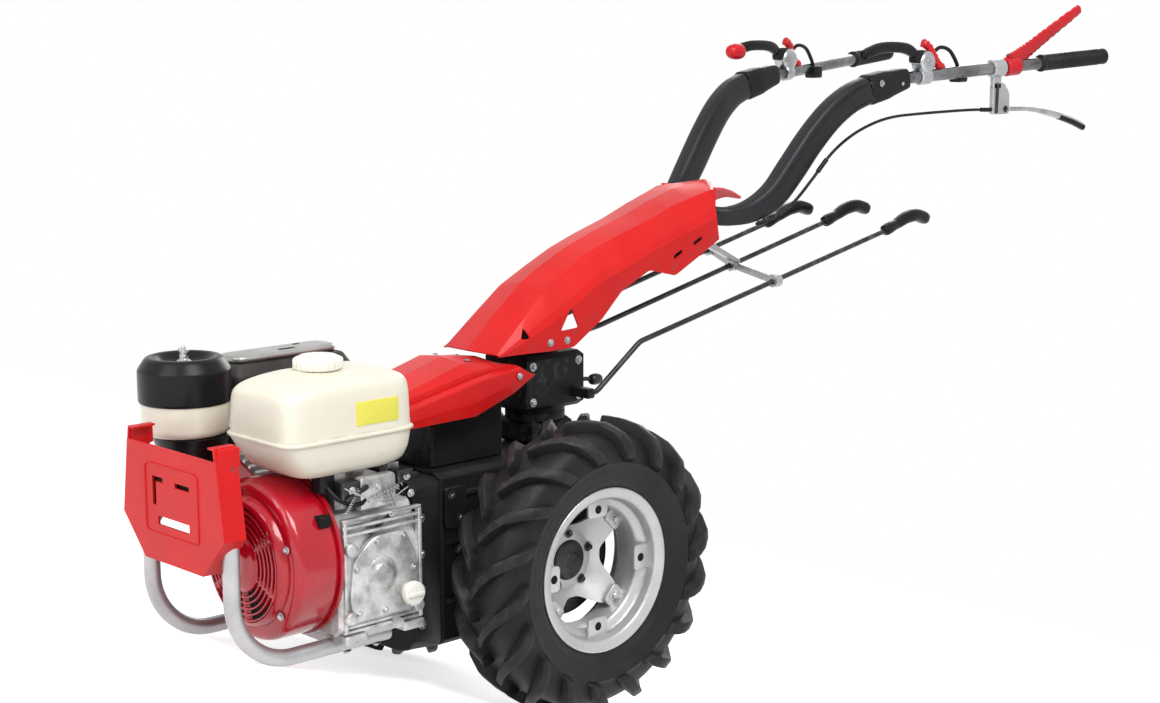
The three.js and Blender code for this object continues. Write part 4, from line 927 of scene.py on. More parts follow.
def swing_lock():
    """The spring-loaded lock handle at the head's rear left, a stem with a small knob."""
    foot = np.array([COLUMN_X - 70, 36, 530])
    stem = sweep(curve([foot, foot + [-14, 6, 2], foot + [-30, 12, 0]], 5), ring(4, 14))
    knob = lathe(soften([[0, -12], [9, -12], [11, 0], [9, 12], [0, 12]], 4), foot + [-34, 13, 0], "x", 24)
    return join(stem, knob)


make("steering_head_bolts", "steering", "machined_steel", STEEL, steering_head_heads())
make("swing_lock_handle", "steering", "machined_steel", DARK_STEEL, swing_lock())
refined("support_beam_plate", "support_beam", BLACK, 2)
refined("handlebar_hub_tube", "handlebar_hub", BLACK, 1)
refined("handlebar_pivot_pin", "handlebar_pivot", STEEL, 1)

# ---------------------------------------------------------------- engine

refined("crankcase_casting", "engine_crankcase", CAST, 3, 2)
refined("cylinder_fins", "engine_cylinder", CAST, 1.2, 2)
refined("mount_rail_plate", "engine_mount_plate", TUBE, 1)
case_low, case_high = reach("engine_crankcase")
CASE_REAR, CASE_FRONT = case_low[0], case_high[0]
CASE_SIDE = 150.0


def crankcase_details():
    """Side cover, ribs, mounting feet, bosses and the sump's drain boss."""
    y = CASE_SIDE
    mid = (CASE_REAR + CASE_FRONT) / 2
    outline = soften([[mid - 62, 232], [mid + 56, 232], [mid + 68, 262], [mid + 62, 330], [mid + 20, 366],
                      [mid - 44, 366], [mid - 68, 320], [mid - 68, 262]], 14, 5, loop=True)
    cover = slab(outline, y - 4, y + 7, "y", 2.5)
    boss_profile = [[0, 15], [18, 15], [22, 11], [30, 8], [34, 5], [0, 5]]
    boss = lathe(soften(boss_profile, 2), (mid + 6, y, 300), "y")
    ribs = [box((CASE_REAR + 4, y - 6, z), (CASE_FRONT - 6, y + 3, z + 5), 1.5, 1.2, "y")
            for z in (214, 222, 372, 384, 396)]
    upright = [box((x, y - 6, 214), (x + 7, y + 4, 396), 2, 1.5, "y")
               for x in (CASE_REAR + 4, CASE_FRONT - 14)]
    feet = [box((x, 96, 198), (x + 44, y + 10, 212), 6, 2) for x in (CASE_REAR + 4, CASE_FRONT - 48)]
    lugs = [lathe(soften([[0, 12], [9, 12], [11, 9], [12, 0], [0, 0]], 2), (x, y, z), "y", 28)
            for x, z in ((CASE_REAR + 16, 236), (CASE_FRONT - 16, 240), (CASE_FRONT - 18, 352))]
    drain = lathe([[0, 14], [8, 14], [9, 11], [9, 0], [0, 0]], (CASE_REAR + 60, y + 2, 216), "y", 6)
    left = [cover, boss, drain, *ribs, *upright, *feet, *lugs]
    y = 58.0
    right = [box((CASE_REAR + 6, -y - 4, z), (CASE_FRONT - 6, -y + 4, z + 6), 1.5, 1.2, "y")
             for z in (214, 236, 258, 280)]
    return join(*left, *right)


def crankcase_heads():
    """Bolts round the side cover's rim and one on each foot."""
    y = CASE_SIDE + 6
    mid = (CASE_REAR + CASE_FRONT) / 2
    rim_spots = [(mid - 52, 244), (mid, 241), (mid + 52, 244), (mid + 56, 318), (mid + 14, 356),
                 (mid - 40, 356), (mid - 60, 300)]
    places = [((x, y, z), (0, 1, 0)) for x, z in rim_spots]
    places += [((x, 134, 211), (0, 0, 1)) for x in (CASE_REAR + 26, CASE_FRONT - 26)]
    return fasteners(places, 7, 5.5)


make("crankcase_cover", "chassis", "cast_alloy", CAST, crankcase_details())
make("crankcase_bolts", "chassis", "machined_steel", STEEL, crankcase_heads())

FAN_X0, FAN_X1 = reach("fan_cover")[0][0], reach("fan_cover")[1][0]
FAN_Y, FAN_Z = middle("recoil_starter")[1:]
FAN_RADIUS = 131.0
VENT_SECTORS = 6
TILT = math.radians(25)  # of the engine's cylinder above the level


def on_cylinder(along, off):
    """(y, z) at a distance along the tilted cylinder from the crank, and off to its upper side."""
    return [FAN_Y - along * math.cos(TILT) + off * math.sin(TILT),
            FAN_Z + along * math.sin(TILT) + off * math.cos(TILT)]


def fan_arc(radius, t):
    """(y, z) points of an arc about the crank."""
    return np.stack([FAN_Y + radius * np.cos(t), FAN_Z + radius * np.sin(t)], -1)


def fan_shroud():
    """The pressed cover's outline, most of a circle run out to the cylinder, drawn deep."""
    t = np.linspace(-2.4, 2.22, 60)
    outline = np.concatenate([fan_arc(FAN_RADIUS, t), [on_cylinder(178, 62), on_cylinder(190, -30)]])
    return slab(outline, FAN_X0, FAN_X1, "x", 17, 7)


def fan_shroud_trim():
    """A square-edged flange round the cover's foot, between two arcs."""
    t = np.linspace(-1.9, 2.1, 50)[::-1]
    inner, outer = fan_arc(FAN_RADIUS - 8, t), fan_arc(FAN_RADIUS + 3, t)
    edges = ((0, inner), (0, outer), (6, outer), (6, inner))
    return grid(np.stack([across("x", FAN_X0 + dx, *edge.T) for dx, edge in edges]), wrap_u=True)


def recoil():
    """The starter's dome: a height for each radius and angle, with arcs sunk in it sector by sector."""
    radius = np.concatenate([np.linspace(0, 38, 8), np.linspace(40, 100, 73), [103, 105.5, 106]])
    t = 2 * np.pi * np.arange(360) / 360
    dome = np.interp(radius, [0, 22, 30, 40, 46, 96, 101, 104, 106], [25, 25, 22, 20, 17, 15, 12, 7, 0])
    phase = np.mod(radius[:, None] - 47, 9.6)
    inside = (radius[:, None] > 47) & (radius[:, None] < 96)
    groove = np.clip(3.2 - np.abs(phase - 3.4), 0, 1.0) * inside
    sector = np.mod(t[None] * VENT_SECTORS / (2 * np.pi) + 0.42, 1.0)
    window = np.clip(1.0 - np.clip(np.abs(sector - 0.5) * 6 - 1.9, 0, 1), 0, 1)
    sunk = 8.5 * groove * window
    height = dome[:, None] - sunk
    radius = radius[:, None]
    top = across("x", FAN_X1 + height, FAN_Y + radius * np.cos(t), FAN_Z + radius * np.sin(t))
    foot = across("x", FAN_X1 + 0 * t, FAN_Y + 0 * t, FAN_Z + 0 * t)[None]
    return grid(np.concatenate([top, foot]), wrap_v=True)


def vent_shade_ring():
    """A flat dark ring of painted shade that shows only where the vents are sunk below it."""
    t = 2 * np.pi * np.arange(96) / 96
    r = np.array([[44.0], [97.0]])
    high = np.array([[11.6], [9.6]])
    top = across("x", FAN_X1 + high + 0 * t, FAN_Y + r * np.cos(t), FAN_Z + r * np.sin(t))
    low = across("x", FAN_X1 + high - 3 + 0 * t, FAN_Y + r * np.cos(t), FAN_Z + r * np.sin(t))
    return grid(np.concatenate([top, low[::-1]]), wrap_u=True, wrap_v=True)


make("fan_shroud", "chassis", "red_paint", CRIMSON, fan_shroud(), fan_shroud_trim(),
     stands_for=("fan_cover",))
make("recoil_dome", "chassis", "red_paint", CRIMSON, recoil(), stands_for=("recoil_starter",),
     angle=math.radians(50))
# painted shade: the dark ring shows in the vents' grooves, not black paint
make("recoil_vent_painted_shade", "chassis", "black_paint", HOLE_SHADE, vent_shade_ring())
lug_angles = np.radians([20, 100, 175, 250, 320])
make("recoil_bolts", "chassis", "machined_steel", STEEL,
     fasteners([((FAN_X1 + 2, FAN_Y + 112 * np.cos(a), FAN_Z + 112 * np.sin(a)), (1, 0, 0))
                for a in lug_angles], 7, 5))
# painted shade: a dark box stands for the square hole in the shroud, not black plastic
make("shroud_window", "chassis", "black_plastic", HOLE_SHADE,
     box((FAN_X0 + 12, FAN_Y + 96, FAN_Z + 64), (FAN_X0 + 34, FAN_Y + 119, FAN_Z + 82), 4, 1, "x"))

TANK_LOW, TANK_HIGH = reach("fuel_tank")
TANK_SEAM = 530.0


def tank():
    """Rounded-square rings stacked from the tank's foot to its crown."""
    stations = np.array([  # height, draw-in, corner sharpness
        [TANK_LOW[2], 90, 4.0], [TANK_LOW[2], 34, 5.0], [TANK_LOW[2] + 3, 24, 5.6],
        [TANK_LOW[2] + 12, 13, 6.4], [TANK_LOW[2] + 30, 7, 7.0],
        [TANK_SEAM - 10, 4.5, 7.4], [TANK_SEAM - 3, 4.0, 7.4],
        [TANK_SEAM - 2.6, 0.6, 7.4], [TANK_SEAM, 0, 7.4], [TANK_SEAM + 2.6, 0.6, 7.4],
        [TANK_SEAM + 3, 4.0, 7.4], [TANK_SEAM + 12, 4.5, 7.4], [TANK_HIGH[2] - 40, 6, 7.4],
        [TANK_HIGH[2] - 24, 8, 7.2], [TANK_HIGH[2] - 15, 14, 6.6], [TANK_HIGH[2] - 9, 27, 6.0],
        [TANK_HIGH[2] - 4, 52, 5.0], [TANK_HIGH[2], 92, 4.0]])
    z, draw, power = soften(stations, 5, 3).T
    half_x = (TANK_HIGH[0] - TANK_LOW[0]) / 2
    half_y = (TANK_HIGH[1] - TANK_LOW[1]) / 2
    t = 2 * np.pi * np.arange(200) / 200
    share = 2 / power[:, None]
    x = np.sign(np.cos(t)) * np.abs(np.cos(t)) ** share * (half_x - draw)[:, None]
    y = np.sign(np.sin(t)) * np.abs(np.sin(t)) ** share * np.maximum(half_y - draw, 3)[:, None]
    centre = (TANK_LOW + TANK_HIGH) / 2
    points = np.stack([x + centre[0], y + centre[1], z[:, None] + 0 * x], -1)
    # the front of the crown falls away towards the nose
    high = np.clip((points[..., 2] - TANK_SEAM - 30) / 60, 0, 1)
    fall = np.clip((points[..., 0] - centre[0] - 20) / (half_x - 20), 0, 1)
    points[..., 2] -= 12 * high * fall**1.6
    # below the seam the front leans back to the foot
    low = np.clip((TANK_SEAM - 6 - points[..., 2]) / (TANK_SEAM - TANK_LOW[2]), 0, 1)
    ahead = np.clip((points[..., 0] - centre[0]) / half_x, 0, 1)
    points[..., 0] -= 34 * low * ahead**1.5
    ends = np.stack([np.broadcast_to(points[k].mean(0), points[k].shape) for k in (0, -1)])
    return grid(np.concatenate([ends[:1], points, ends[1:]]), wrap_v=True)


def tank_label():
    """A blank rectangle laid just proud of the tank's left flank."""
    x0, x1, z0, z1 = TANK_LOW[0] + 44, TANK_LOW[0] + 128, TANK_SEAM + 16, TANK_SEAM + 54
    return slab(oblong(x0, x1, z0, z1, 3), TANK_HIGH[1] - 9, TANK_HIGH[1] - 3.9, "y", 0.3)


make("fuel_tank_shell", "chassis", "cream_paint", CREAM, tank(), stands_for=("fuel_tank",))
make("tank_label_blank", "chassis", "cream_paint", LABEL, tank_label())

cap_low, cap_high = reach("fuel_tank_cap")


def tank_cap():
    """A lathe with a stepped crown, its skirt's radius r (1 + 0.035 |cos 24 t|^0.4) out on each rib.

    Between ribs the same share is taken off.
    """
    t = 2 * np.pi * np.arange(288) / 288
    profile = np.array([  # radius, height and how much of the ribs
        [0, -2, 0], [37, -2, 0], [39, 0, 1], [39, 4, 1], [39, 13, 1], [37, 16, 0.4], [32, 17, 0],
        [30, 19.5, 0], [26, 20, 0], [0, 20, 0]])
    r, h, ribbed = soften(profile, 1.5, 3).T[:, :, None]
    radius = r * (1 + 0.035 * ribbed * np.sign(np.cos(24 * t)) * np.abs(np.cos(24 * t)) ** 0.4)
    x, y, _ = (cap_low + cap_high) / 2
    points = across("z", cap_low[2] + h + 0 * t, x + radius * np.cos(t), y + radius * np.sin(t))
    neck = lathe([[0, -9], [36, -9], [36, -6], [31, -3], [31, 1], [0, 1]], (x, y, cap_low[2]), "z", 64)
    return join(grid(points, wrap_v=True), neck)


make("fuel_tank_lid", "chassis", "cream_plastic", CREAM_CAP, tank_cap(), stands_for=("fuel_tank_cap",))

cleaner = middle("air_cleaner_cap")
CLEANER = np.array([cleaner[0] + 6, cleaner[1] - 6, 0])
CAP_R = 76.0
cap_foot = reach("air_cleaner_cap")[0][2]
cap_top = reach("air_cleaner_cap")[1][2]
CAP_RIM = cap_top - 16


def cleaner_cap():
    """The air cleaner's lid, turned about its stud: a skirt, a drawn-in rim and a sunk middle."""
    shape = [[0, cap_foot - 3], [CAP_R - 2, cap_foot - 3], [CAP_R, cap_foot], [CAP_R, CAP_RIM - 22],
             [CAP_R - 2, CAP_RIM - 18], [CAP_R - 12, CAP_RIM - 3], [CAP_R - 17, CAP_RIM], [52, CAP_RIM],
             [47, CAP_RIM - 3], [38, CAP_RIM - 12], [0, CAP_RIM - 12]]
    return lathe(soften(shape, 3), CLEANER, "z", 96)


def wing_nut():
    """A stud, a washer and a nut with two wings."""
    top = cap_top
    stud = lathe([[0, top - 26], [4, top - 26], [4, top - 2], [3, top], [0, top]], CLEANER, "z", 20)
    nut_profile = [[0, top - 27], [12, top - 27], [12, top - 24], [8, top - 22], [7, top - 14],
                   [0, top - 14]]
    nut = lathe(soften(nut_profile, 1), CLEANER, "z", 32)
    x, y, _ = CLEANER
    wing_outline = [[y + 4, top - 22], [y + 9, top - 18], [y + 16, top - 6], [y + 13, top - 4],
                    [y + 6, top - 11]]
    wing = slab(soften(wing_outline, 2, loop=True), x - 1.5, x + 1.5, "x", 0.6)
    other = (wing[0] * [1, -1, 1] + [0, 2 * y, 0], wing[1])
    return join(stud, nut, wing, other)


bowl_low, bowl_high = reach("air_cleaner_bowl")
bowl = [[0, bowl_low[2]], [62, bowl_low[2]], [68, bowl_low[2] + 3], [71, bowl_low[2] + 10],
        [72, bowl_low[2] + 26], [73, bowl_high[2]], [0, bowl_high[2]]]
make("air_cleaner_lid", "chassis", "black_plastic", PLASTIC, cleaner_cap(), stands_for=("air_cleaner_cap",))
make("air_cleaner_wing_nut", "chassis", "machined_steel", STEEL, wing_nut())
make("air_cleaner_cup", "chassis", "cream_paint", CREAM, lathe(soften(bowl, 3), CLEANER, "z", 96),
     stands_for=("air_cleaner_bowl",))
refined("air_cleaner_duct", "air_cleaner_base", PLASTIC, 3, 3)

MUFFLER_LOW, MUFFLER_HIGH = reach("muffler")


def muffler_shell():
    """The silencer's guard: a deep rounded box whose upper edge is drawn in, with a pressed rim."""
    x0, y0 = MUFFLER_LOW[:2] + [8, 0]
    x1, y1 = MUFFLER_HIGH[0] + 8, -158.0
    z0, z1 = 508.0, MUFFLER_HIGH[2]
    stations = np.array([  # height and draw-in
        [z0, 60], [z0, 12], [z0 + 8, 3], [z0 + 20, 0], [z1 - 34, 0], [z1 - 26, 2], [z1 - 10, 14],
        [z1 - 8, 20], [z1 - 8, 60]])
    z, draw = soften(stations, 4, 4).T
    return stack(oblong(x0, x1, y0, y1, 26, 8), np.minimum(draw, 46), z, "z")


SHIELD_TOP = MUFFLER_HIGH[2] + 4


def heat_shield():
    """The pale pressed top plate, its upper edge well rounded."""
    x0, y0 = MUFFLER_LOW[:2] + [26, 17]
    x1, y1 = MUFFLER_HIGH[0] - 10, -180.0
    return slab(oblong(x0, x1, y0, y1, 26, 8), SHIELD_TOP - 12, SHIELD_TOP, "z", 6, 5)


def shield_slot(x0, x1, y0, y1):
    """A slot in the plate, shown as a dark sheet of painted shade, from lengths behind the muffler's rear
    end.
    """
    outline = oblong(MUFFLER_LOW[0] + x0, MUFFLER_LOW[0] + x1, y0, y1, 4)
    return slab(outline, SHIELD_TOP - 2, SHIELD_TOP + 0.4, "z", 0.2)


make("muffler_guard", "chassis", "exhaust_black", EXHAUST, muffler_shell(),
     box((356, -158, 466), (400, -136, 530), 5, 2), stands_for=("muffler",))
make("muffler_heat_shield", "chassis", "silver_paint", SHIELD, heat_shield())
# painted shade in the heat shield's slots, not black paint
make("heat_shield_slots", "chassis", "black_paint", HOLE_SHADE, shield_slot(108, 142, -206, -196),
     shield_slot(78, 92, -234, -226))
# painted shade: dark strips stand for the shade in the louvres' openings
make("muffler_louvres", "chassis", "exhaust_black", HOLE_SHADE, *[
    box((x, -263.2, 526), (x + 8, -259, 566), 3.5, 0.6, "y") for x in np.arange(214, 392, 20)])
pipe = curve([[MUFFLER_LOW[0] + 6, -206, 548], [MUFFLER_LOW[0] - 6, -206, 548],
              [MUFFLER_LOW[0] - 16, -206, 544]], 5)
make("muffler_outlet", "chassis", "exhaust_black", EXHAUST, sweep(pipe, ring(13, 28), edge=1.5))

refined("carburettor_body", "carburettor", CAST, 2)


GOVERNOR_BARS = (  # start in x and z, run in x and z, and width
    (318, 420, 66, 26, 9), (344, 398, 52, -30, 8), (398, 448, 44, -18, 9), (300, 452, 40, 8, 8))


def governor_parts():
    """Flat levers under the tank's left edge, each tapered to 0.6 of its width, set side by side."""
    y = 141.0
    parts = []
    for x, z, dx, dz, w in GOVERNOR_BARS:
        length = math.hypot(dx, dz)
        u = np.array([dx, dz]) / length
        n = np.array([-u[1], u[0]]) * w / 2
        a, b = np.array([x, z]), np.array([x + dx, z + dz])
        outline = soften([a + n, b + 0.6 * n, b - 0.6 * n, a - n], 4, loop=True)
        parts.append(slab(outline, y, y + 3, "y", 0.6))
        y += 3.5
    return join(*parts)


def spring(start, end, radius=3.4, wire=0.8, turns=11):
    """A coil: start + s(end - start) + radius (cos 2 pi n s, sin 2 pi n s) across it."""
    start, end = np.array(start, float), np.array(end, float)
    s = np.linspace(0, 1, turns * 12)[:, None]
    w = unit(end - start)
    u = unit(np.cross(w, [0, 1, 0]))
    v = np.cross(w, u)
    swing = 2 * np.pi * turns * s
    path = start + s * (end - start) + radius * (np.cos(swing) * u + np.sin(swing) * v)
    return sweep(path, ring(wire, 6), w + 0.01, 0.2)


make("governor_levers", "chassis", "machined_steel", DARK_STEEL, governor_parts(),
     box((306, 120, 440), (338, 150, 462), 4, 2), box((410, 118, 430), (446, 146, 458), 6, 2))
make("governor_springs", "chassis", "machined_steel", STEEL, spring((330, 153, 442), (402, 150, 424)),
     spring((352, 156, 404), (366, 152, 446), 3.0), spring((418, 152, 446), (442, 150, 410), 3.0),
     sweep(curve([[322, 156, 436], [372, 158, 420], [426, 156, 440], [446, 150, 452]], 8), ring(1.3, 10)),
     fasteners([((318, 156, 424), (0, 1, 0)), ((384, 156, 444), (0, 1, 0)), ((428, 147, 444), (0, 1, 0)),
                ((322, 151, 452), (0, 1, 0)), ((352, 150, 396), (0, 1, 0))], 7, 6))
fuel_line = curve([[452, 96, 470], [458, 118, 452], [446, 140, 430], [414, 146, 420], [392, 140, 432]], 8)
make("fuel_line", "chassis", "black_plastic", PLASTIC, sweep(fuel_line, ring(4, 16)),
     box((440, 92, 440), (470, 122, 472), 8, 3))
tank_feet = [((x, y, 474), (0, 0, -1)) for x in (CASE_REAR + 30, CASE_FRONT - 30) for y in (104, 10)]
make("tank_fasteners", "chassis", "machined_steel", STEEL, fasteners(tank_feet, 8, 6))

oil_low, oil_high = reach("oil_filler_cap")
oil = [[0, 0], [15, 0], [15, 13], [20, 15], [20, 25], [17, 27], [0, 28]]
oil_x, _, oil_z = middle("oil_filler_cap")
oil_plug = lathe(soften(oil, 2), (oil_x, oil_low[1], oil_z), "y", 20)
oil_key = box((oil_x - 15, oil_high[1] - 4, oil_z - 3), (oil_x + 15, oil_high[1] + 3, oil_z + 3), 2, 1, "y")
make("oil_filler_plug", "chassis", "cream_plastic", CREAM_CAP, oil_plug, oil_key,
     stands_for=("oil_filler_cap",))

# ---------------------------------------------------------------- front guard

tube_low, tube_high = reach("left_guard_tube")
GUARD_R = 13.5


def guard_path():
    """Up the front, round the bend and back under the engine: two straight runs and an arc."""
    x, y, z = tube_high[0] - GUARD_R, (tube_low[1] + tube_high[1]) / 2, tube_low[2] + GUARD_R
    bend = 110.0
    a = np.linspace(0, np.pi / 2, 24)
    arc = np.stack([x - bend + bend * np.cos(a), 0 * a + y, z + bend - bend * np.sin(a)], -1)
    top = np.linspace(tube_high[2] - 70, z + bend, 12, endpoint=False)
    rise = np.stack([0 * top + x, 0 * top + y, top], -1)
    back = np.linspace(x - bend, tube_low[0], 12)[1:]
    run = np.stack([back, 0 * back + y, 0 * back + z], -1)
    return np.concatenate([rise, arc, run])


for label, side in (("left", 1), ("right", -1)):
    tube = sweep(guard_path() * [1, side, 1], ring(GUARD_R, 36), edge=1.5)
    make(f"{label}_guard_rail", "chassis", "silver_paint", TUBE, tube, stands_for=(f"{label}_guard_tube",))

refined("guard_plate_pressing", "guard_plate", RED, 1.6, 3)
PLATE_FACE = reach("guard_plate")[1][0]
TUBE_Y = (tube_low[1] + tube_high[1]) / 2
BOLT_X = tube_high[0] - 2 * GUARD_R - 3
plate_bolts = [((BOLT_X, side * TUBE_Y, z), (-1, 0, 0)) for side in SIDES for z in (390, 440)]
rail_bolts = [((x, side * TUBE_Y, tube_low[2] - 0.5), (0, 0, -1)) for side in SIDES for x in (360, 420)]
make("guard_plate_bolts", "chassis", "machined_steel", STEEL, fasteners(plate_bolts, 8, 6),
     fasteners(rail_bolts, 8, 5))

cheek = box((PLATE_FACE - 44, 118, 510), (PLATE_FACE - 5, 125.5, 541), 4, 1.5, "y")
make("guard_plate_cheeks", "chassis", "red_paint", RED, both(cheek))
bead = oblong(-74, 74, 384, 494, 12, 6)
bead = np.concatenate([bead, bead[:2]])
make("guard_plate_bead", "chassis", "red_paint", RED,
     sweep(across("x", PLATE_FACE - 0.4, bead[:, 0], bead[:, 1]), oval(5, 3.4, 2, 12), (1, 0, 0), 0.5))
make("guard_plate_pad", "chassis", "black_paint", BLACK,
     box((PLATE_FACE - 18, -64, 420), (PLATE_FACE - 8, 64, 488), 6, 2, "x"))

# ---------------------------------------------------------------- hood and fairing

SHEET = 3.0


def panel(stations, crisp, soft, sheet=SHEET):
    """A pressed sheet: half sections mirrored, creases rounded both ways, then given its wall.

    The wall is the same net moved in by the sheet's thickness along its own normals.
    """
    half = np.asarray(stations, float)
    full = np.concatenate([half, half[:, -2::-1] * [1, -1, 1]], 1)
    net = soften(full, soft, 6)
    net = np.moveaxis(soften(np.moveaxis(net, 1, 0), crisp, 5), 0, 1)
    du, dv = np.gradient(net, axis=0), np.gradient(net, axis=1)
    normal = unit(np.cross(du, dv) + 1e-9)
    centre = net.mean((0, 1))
    if np.sum(normal * (net - centre)) < 0:
        normal = -normal
    wall = net - sheet * normal
    strip = np.concatenate([net, wall[::-1]])
    shell = grid(strip, wrap_u=True)
    sides = [grid(np.stack([net[:, k], wall[:, k]])) for k in (0, -1)]
    return join(shell, *sides)


def hood_station(x, low, side_top, crown, rake, half):
    """The hood's half section at one place: side, pressed ledge, groove, riser and crown, in turn."""
    return [[x - rake, half - 2, low], [x - 0.75 * rake, half, low + 0.42 * (side_top - low)],
            [x - 0.5 * rake, half - 1, side_top], [x - 0.45 * rake, half - 3, side_top + 3],
            [x - 0.4 * rake, half - 15, side_top + 6], [x - 0.38 * rake, half - 18, side_top + 1],
            [x - 0.35 * rake, half - 19, min(side_top + 15, crown - 6)],
            [x, half - 34, crown - 2], [x, 0, crown + 3]]


HOOD = [  # front to rear
    hood_station(281, 512, 536, 556, 0, 92), hood_station(262, 510, 540, 562, 0, 92),
    hood_station(122, 512, 568, 601, 0, 92), hood_station(72, 540, 577, 595, 36, 92),
    hood_station(46, 566, 581, 593, 62, 90)]
make("front_hood_pressing", "chassis", "red_paint", RED, panel(HOOD, 2, 6), stands_for=("front_hood",))
refined("hood_carrier", "hood_bracket", BLACK, 2)
make("hood_bolts", "chassis", "machined_steel", STEEL,
     fasteners([((24, side * 92.5, 569), (0, side, 0)) for side in SIDES], 6, 4),
     fasteners([((100, side * 42, 600), (0, 0, 1)) for side in SIDES], 5, 2))

FAIRING = [  # lower edge, side crease, the fold above it, crown edge, crown
    [[54, 75, 603], [53, 75, 604], [54, 73, 605], [55, 68, 606.5], [65, 0, 608.5]],
    [[0, 79, 603], [-3, 79, 624], [-5, 75, 636], [-10, 63, 660], [-8, 0, 672]],
    [[-60, 80, 601], [-62, 81, 650], [-62, 76, 666], [-64, 58, 704], [-66, 0, 717]],
    [[-116, 80, 602], [-118, 82, 676], [-118, 77, 692], [-120, 54, 734], [-120, 0, 746]],
    [[-185, 80, 644], [-174, 82, 708], [-175, 75, 723], [-178, 50, 763], [-180, 0, 772]],
    [[-235, 80, 690], [-235, 83, 728], [-236, 76, 743], [-240, 52, 784], [-240, 0, 793]],
    [[-307, 80, 722], [-307, 83, 754], [-309, 77, 768], [-318, 54, 807], [-320, 0, 816]],
    [[-375, 80, 706], [-380, 84, 777], [-381, 79, 792], [-385, 57, 831], [-390, 0, 841]],
    [[-440, 84, 740], [-440, 87, 795], [-440, 81, 810], [-440, 62, 847], [-450, 0, 858]],
    [[-487, 85, 764], [-474, 89, 808], [-476, 83, 822], [-480, 69, 858], [-540, 0, 872]],
    [[-489, 85, 765], [-477, 89, 809], [-480, 83, 823], [-496, 68, 857], [-645, 0, 831]],
]


def wedge(points, side):
    """A cutter through one flank of the fairing, from an outline of (x, z) points."""
    low, high = (66, 100) if side > 0 else (-100, -66)
    return slab(soften(points, 5, 4, loop=True), low, high, "y", 0.3)


fairing = make("column_fairing_pressing", "steering", "red_paint", RED, panel(FAIRING, 2.5, 20),
               stands_for=("column_fairing",))
WINDOWS = [  # outlines of (x, z): two wedges and two slots through each flank
    [[-84, 634], [-128, 636], [-108, 674]], [[6, 628], [-14, 628], [-5, 648]],
    [[-370, 736], [-392, 747], [-390, 755], [-368, 744]],
    [[-420, 757], [-442, 768], [-440, 776], [-418, 765]]]
pierce(fairing, *[wedge(outline, side) for side in SIDES for outline in WINDOWS])


def crease_dimples():
    """A row of small raised pips along the fairing's side crease."""
    crease = np.array([row[1] for row in FAIRING], float)
    spots = curve(crease[3:-1], 10)[2:-1]
    pip = lathe([[0, 1.2], [1.5, 1.0], [2.2, 0], [0, -0.5]], (0, 0, 0), "z", 8)
    places = [(p * [1, side, 1] + [0, -0.6 * side, 0], (0, side, 0)) for p in spots for side in SIDES]
    return repeated(pip, places)


def tail_lip():
    """The turned-down edge under the fairing's tail, deep at its root and fine at the tip."""
    path = curve([[-490, 68, 849], [-540, 46, 847], [-592, 22, 840], [-640, 1, 829]], 8)
    tall = np.interp(path[:, 0], [-640, -490], [6, 26])
    return both(sweep(path, oval(4, tall, 3, 16), edge=0.8))


BACKINGS = (  # rear and front end, foot and top, and inner and outer face of the slots' dark plates
    (-462, -394, 753, 796, 64, 67), (-414, -360, 732, 778, 63.9, 66.9))


def slot_backing():
    """Two overlapping plates behind each flank's slots."""
    plates = [box((x0, y0, z0), (x1, y1, z1), 4, 1, "y") for x0, x1, z0, z1, y0, y1 in BACKINGS]
    return join(*[both(plate) for plate in plates])


make("fairing_tail_lip", "steering", "red_paint", RED, tail_lip())
make("fairing_crease_pips", "steering", "red_paint", RED, crease_dimples())
make("fairing_slot_backing", "steering", "black_paint", BLACK, slot_backing())
fairing_spots = ((-60, 616), (-100, 616), (-454, 752))
make("fairing_bolts", "steering", "machined_steel", STEEL,
     fasteners([((x, side * 80, z), (0, side, 0)) for side in SIDES for x, z in fairing_spots], 7, 4))

# ---------------------------------------------------------------- gear rods

ROD_RADIUS = 5.0
ROD_LINES = {  # each rod's corners, from the steering head back to its handle
    "left": [[-146.3, 94, 518], [-158, 94, 518], [-252, 110, 600], [-958, 110, 747]],
    "middle": [[-135.3, 0, 600], [-151, 0, 600], [-259, 0, 617], [-900, 0, 761]],
    "right": [[-174.3, -58, 518], [-183, -58, 518], [-185, -61, 618], [-206, -64, 628],
              [-786, -60, 762]],
}
HANDLE_LINE = (  # behind the rod's end, and above its slope
    (0.6, 0), (22, 3), (40, 4), (70, 8), (100, 6), (122, -3), (140, -14))


def shift_handle(corners):
    """A soft-cornered section carried along the rod's own slope and then over and down."""
    bend, end = corners[-2:]
    slope = (end[2] - bend[2]) / (end[0] - bend[0])
    path = curve([end + [-back, 0, -back * slope + rise] for back, rise in HANDLE_LINE], 6)
    s = np.linspace(0, 1, len(path))
    width = np.interp(s, [0, 0.1, 0.3, 0.6, 0.9, 1], [22, 25, 22, 29, 29, 24])
    return sweep(path, oval(width, width * 0.92, 2.6, 32), edge=5)


for label, line in ROD_LINES.items():
    corners = np.array(line, float)
    rod = sweep(soften(corners, 9, 6), ring(ROD_RADIUS, 20), edge=0.6)
    make(f"{label}_shift_rod", "steering", "machined_steel", DARK_STEEL, rod,
         stands_for=(f"{label}_gear_rod",))
    make(f"{label}_shift_handle", "steering", "black_plastic", PLASTIC, shift_handle(corners),
         stands_for=(f"{label}_gear_handle",))
refined("gear_rod_yoke", "gear_rod_bracket", TUBE, 0.4, 1)

# ---------------------------------------------------------------- handlebars

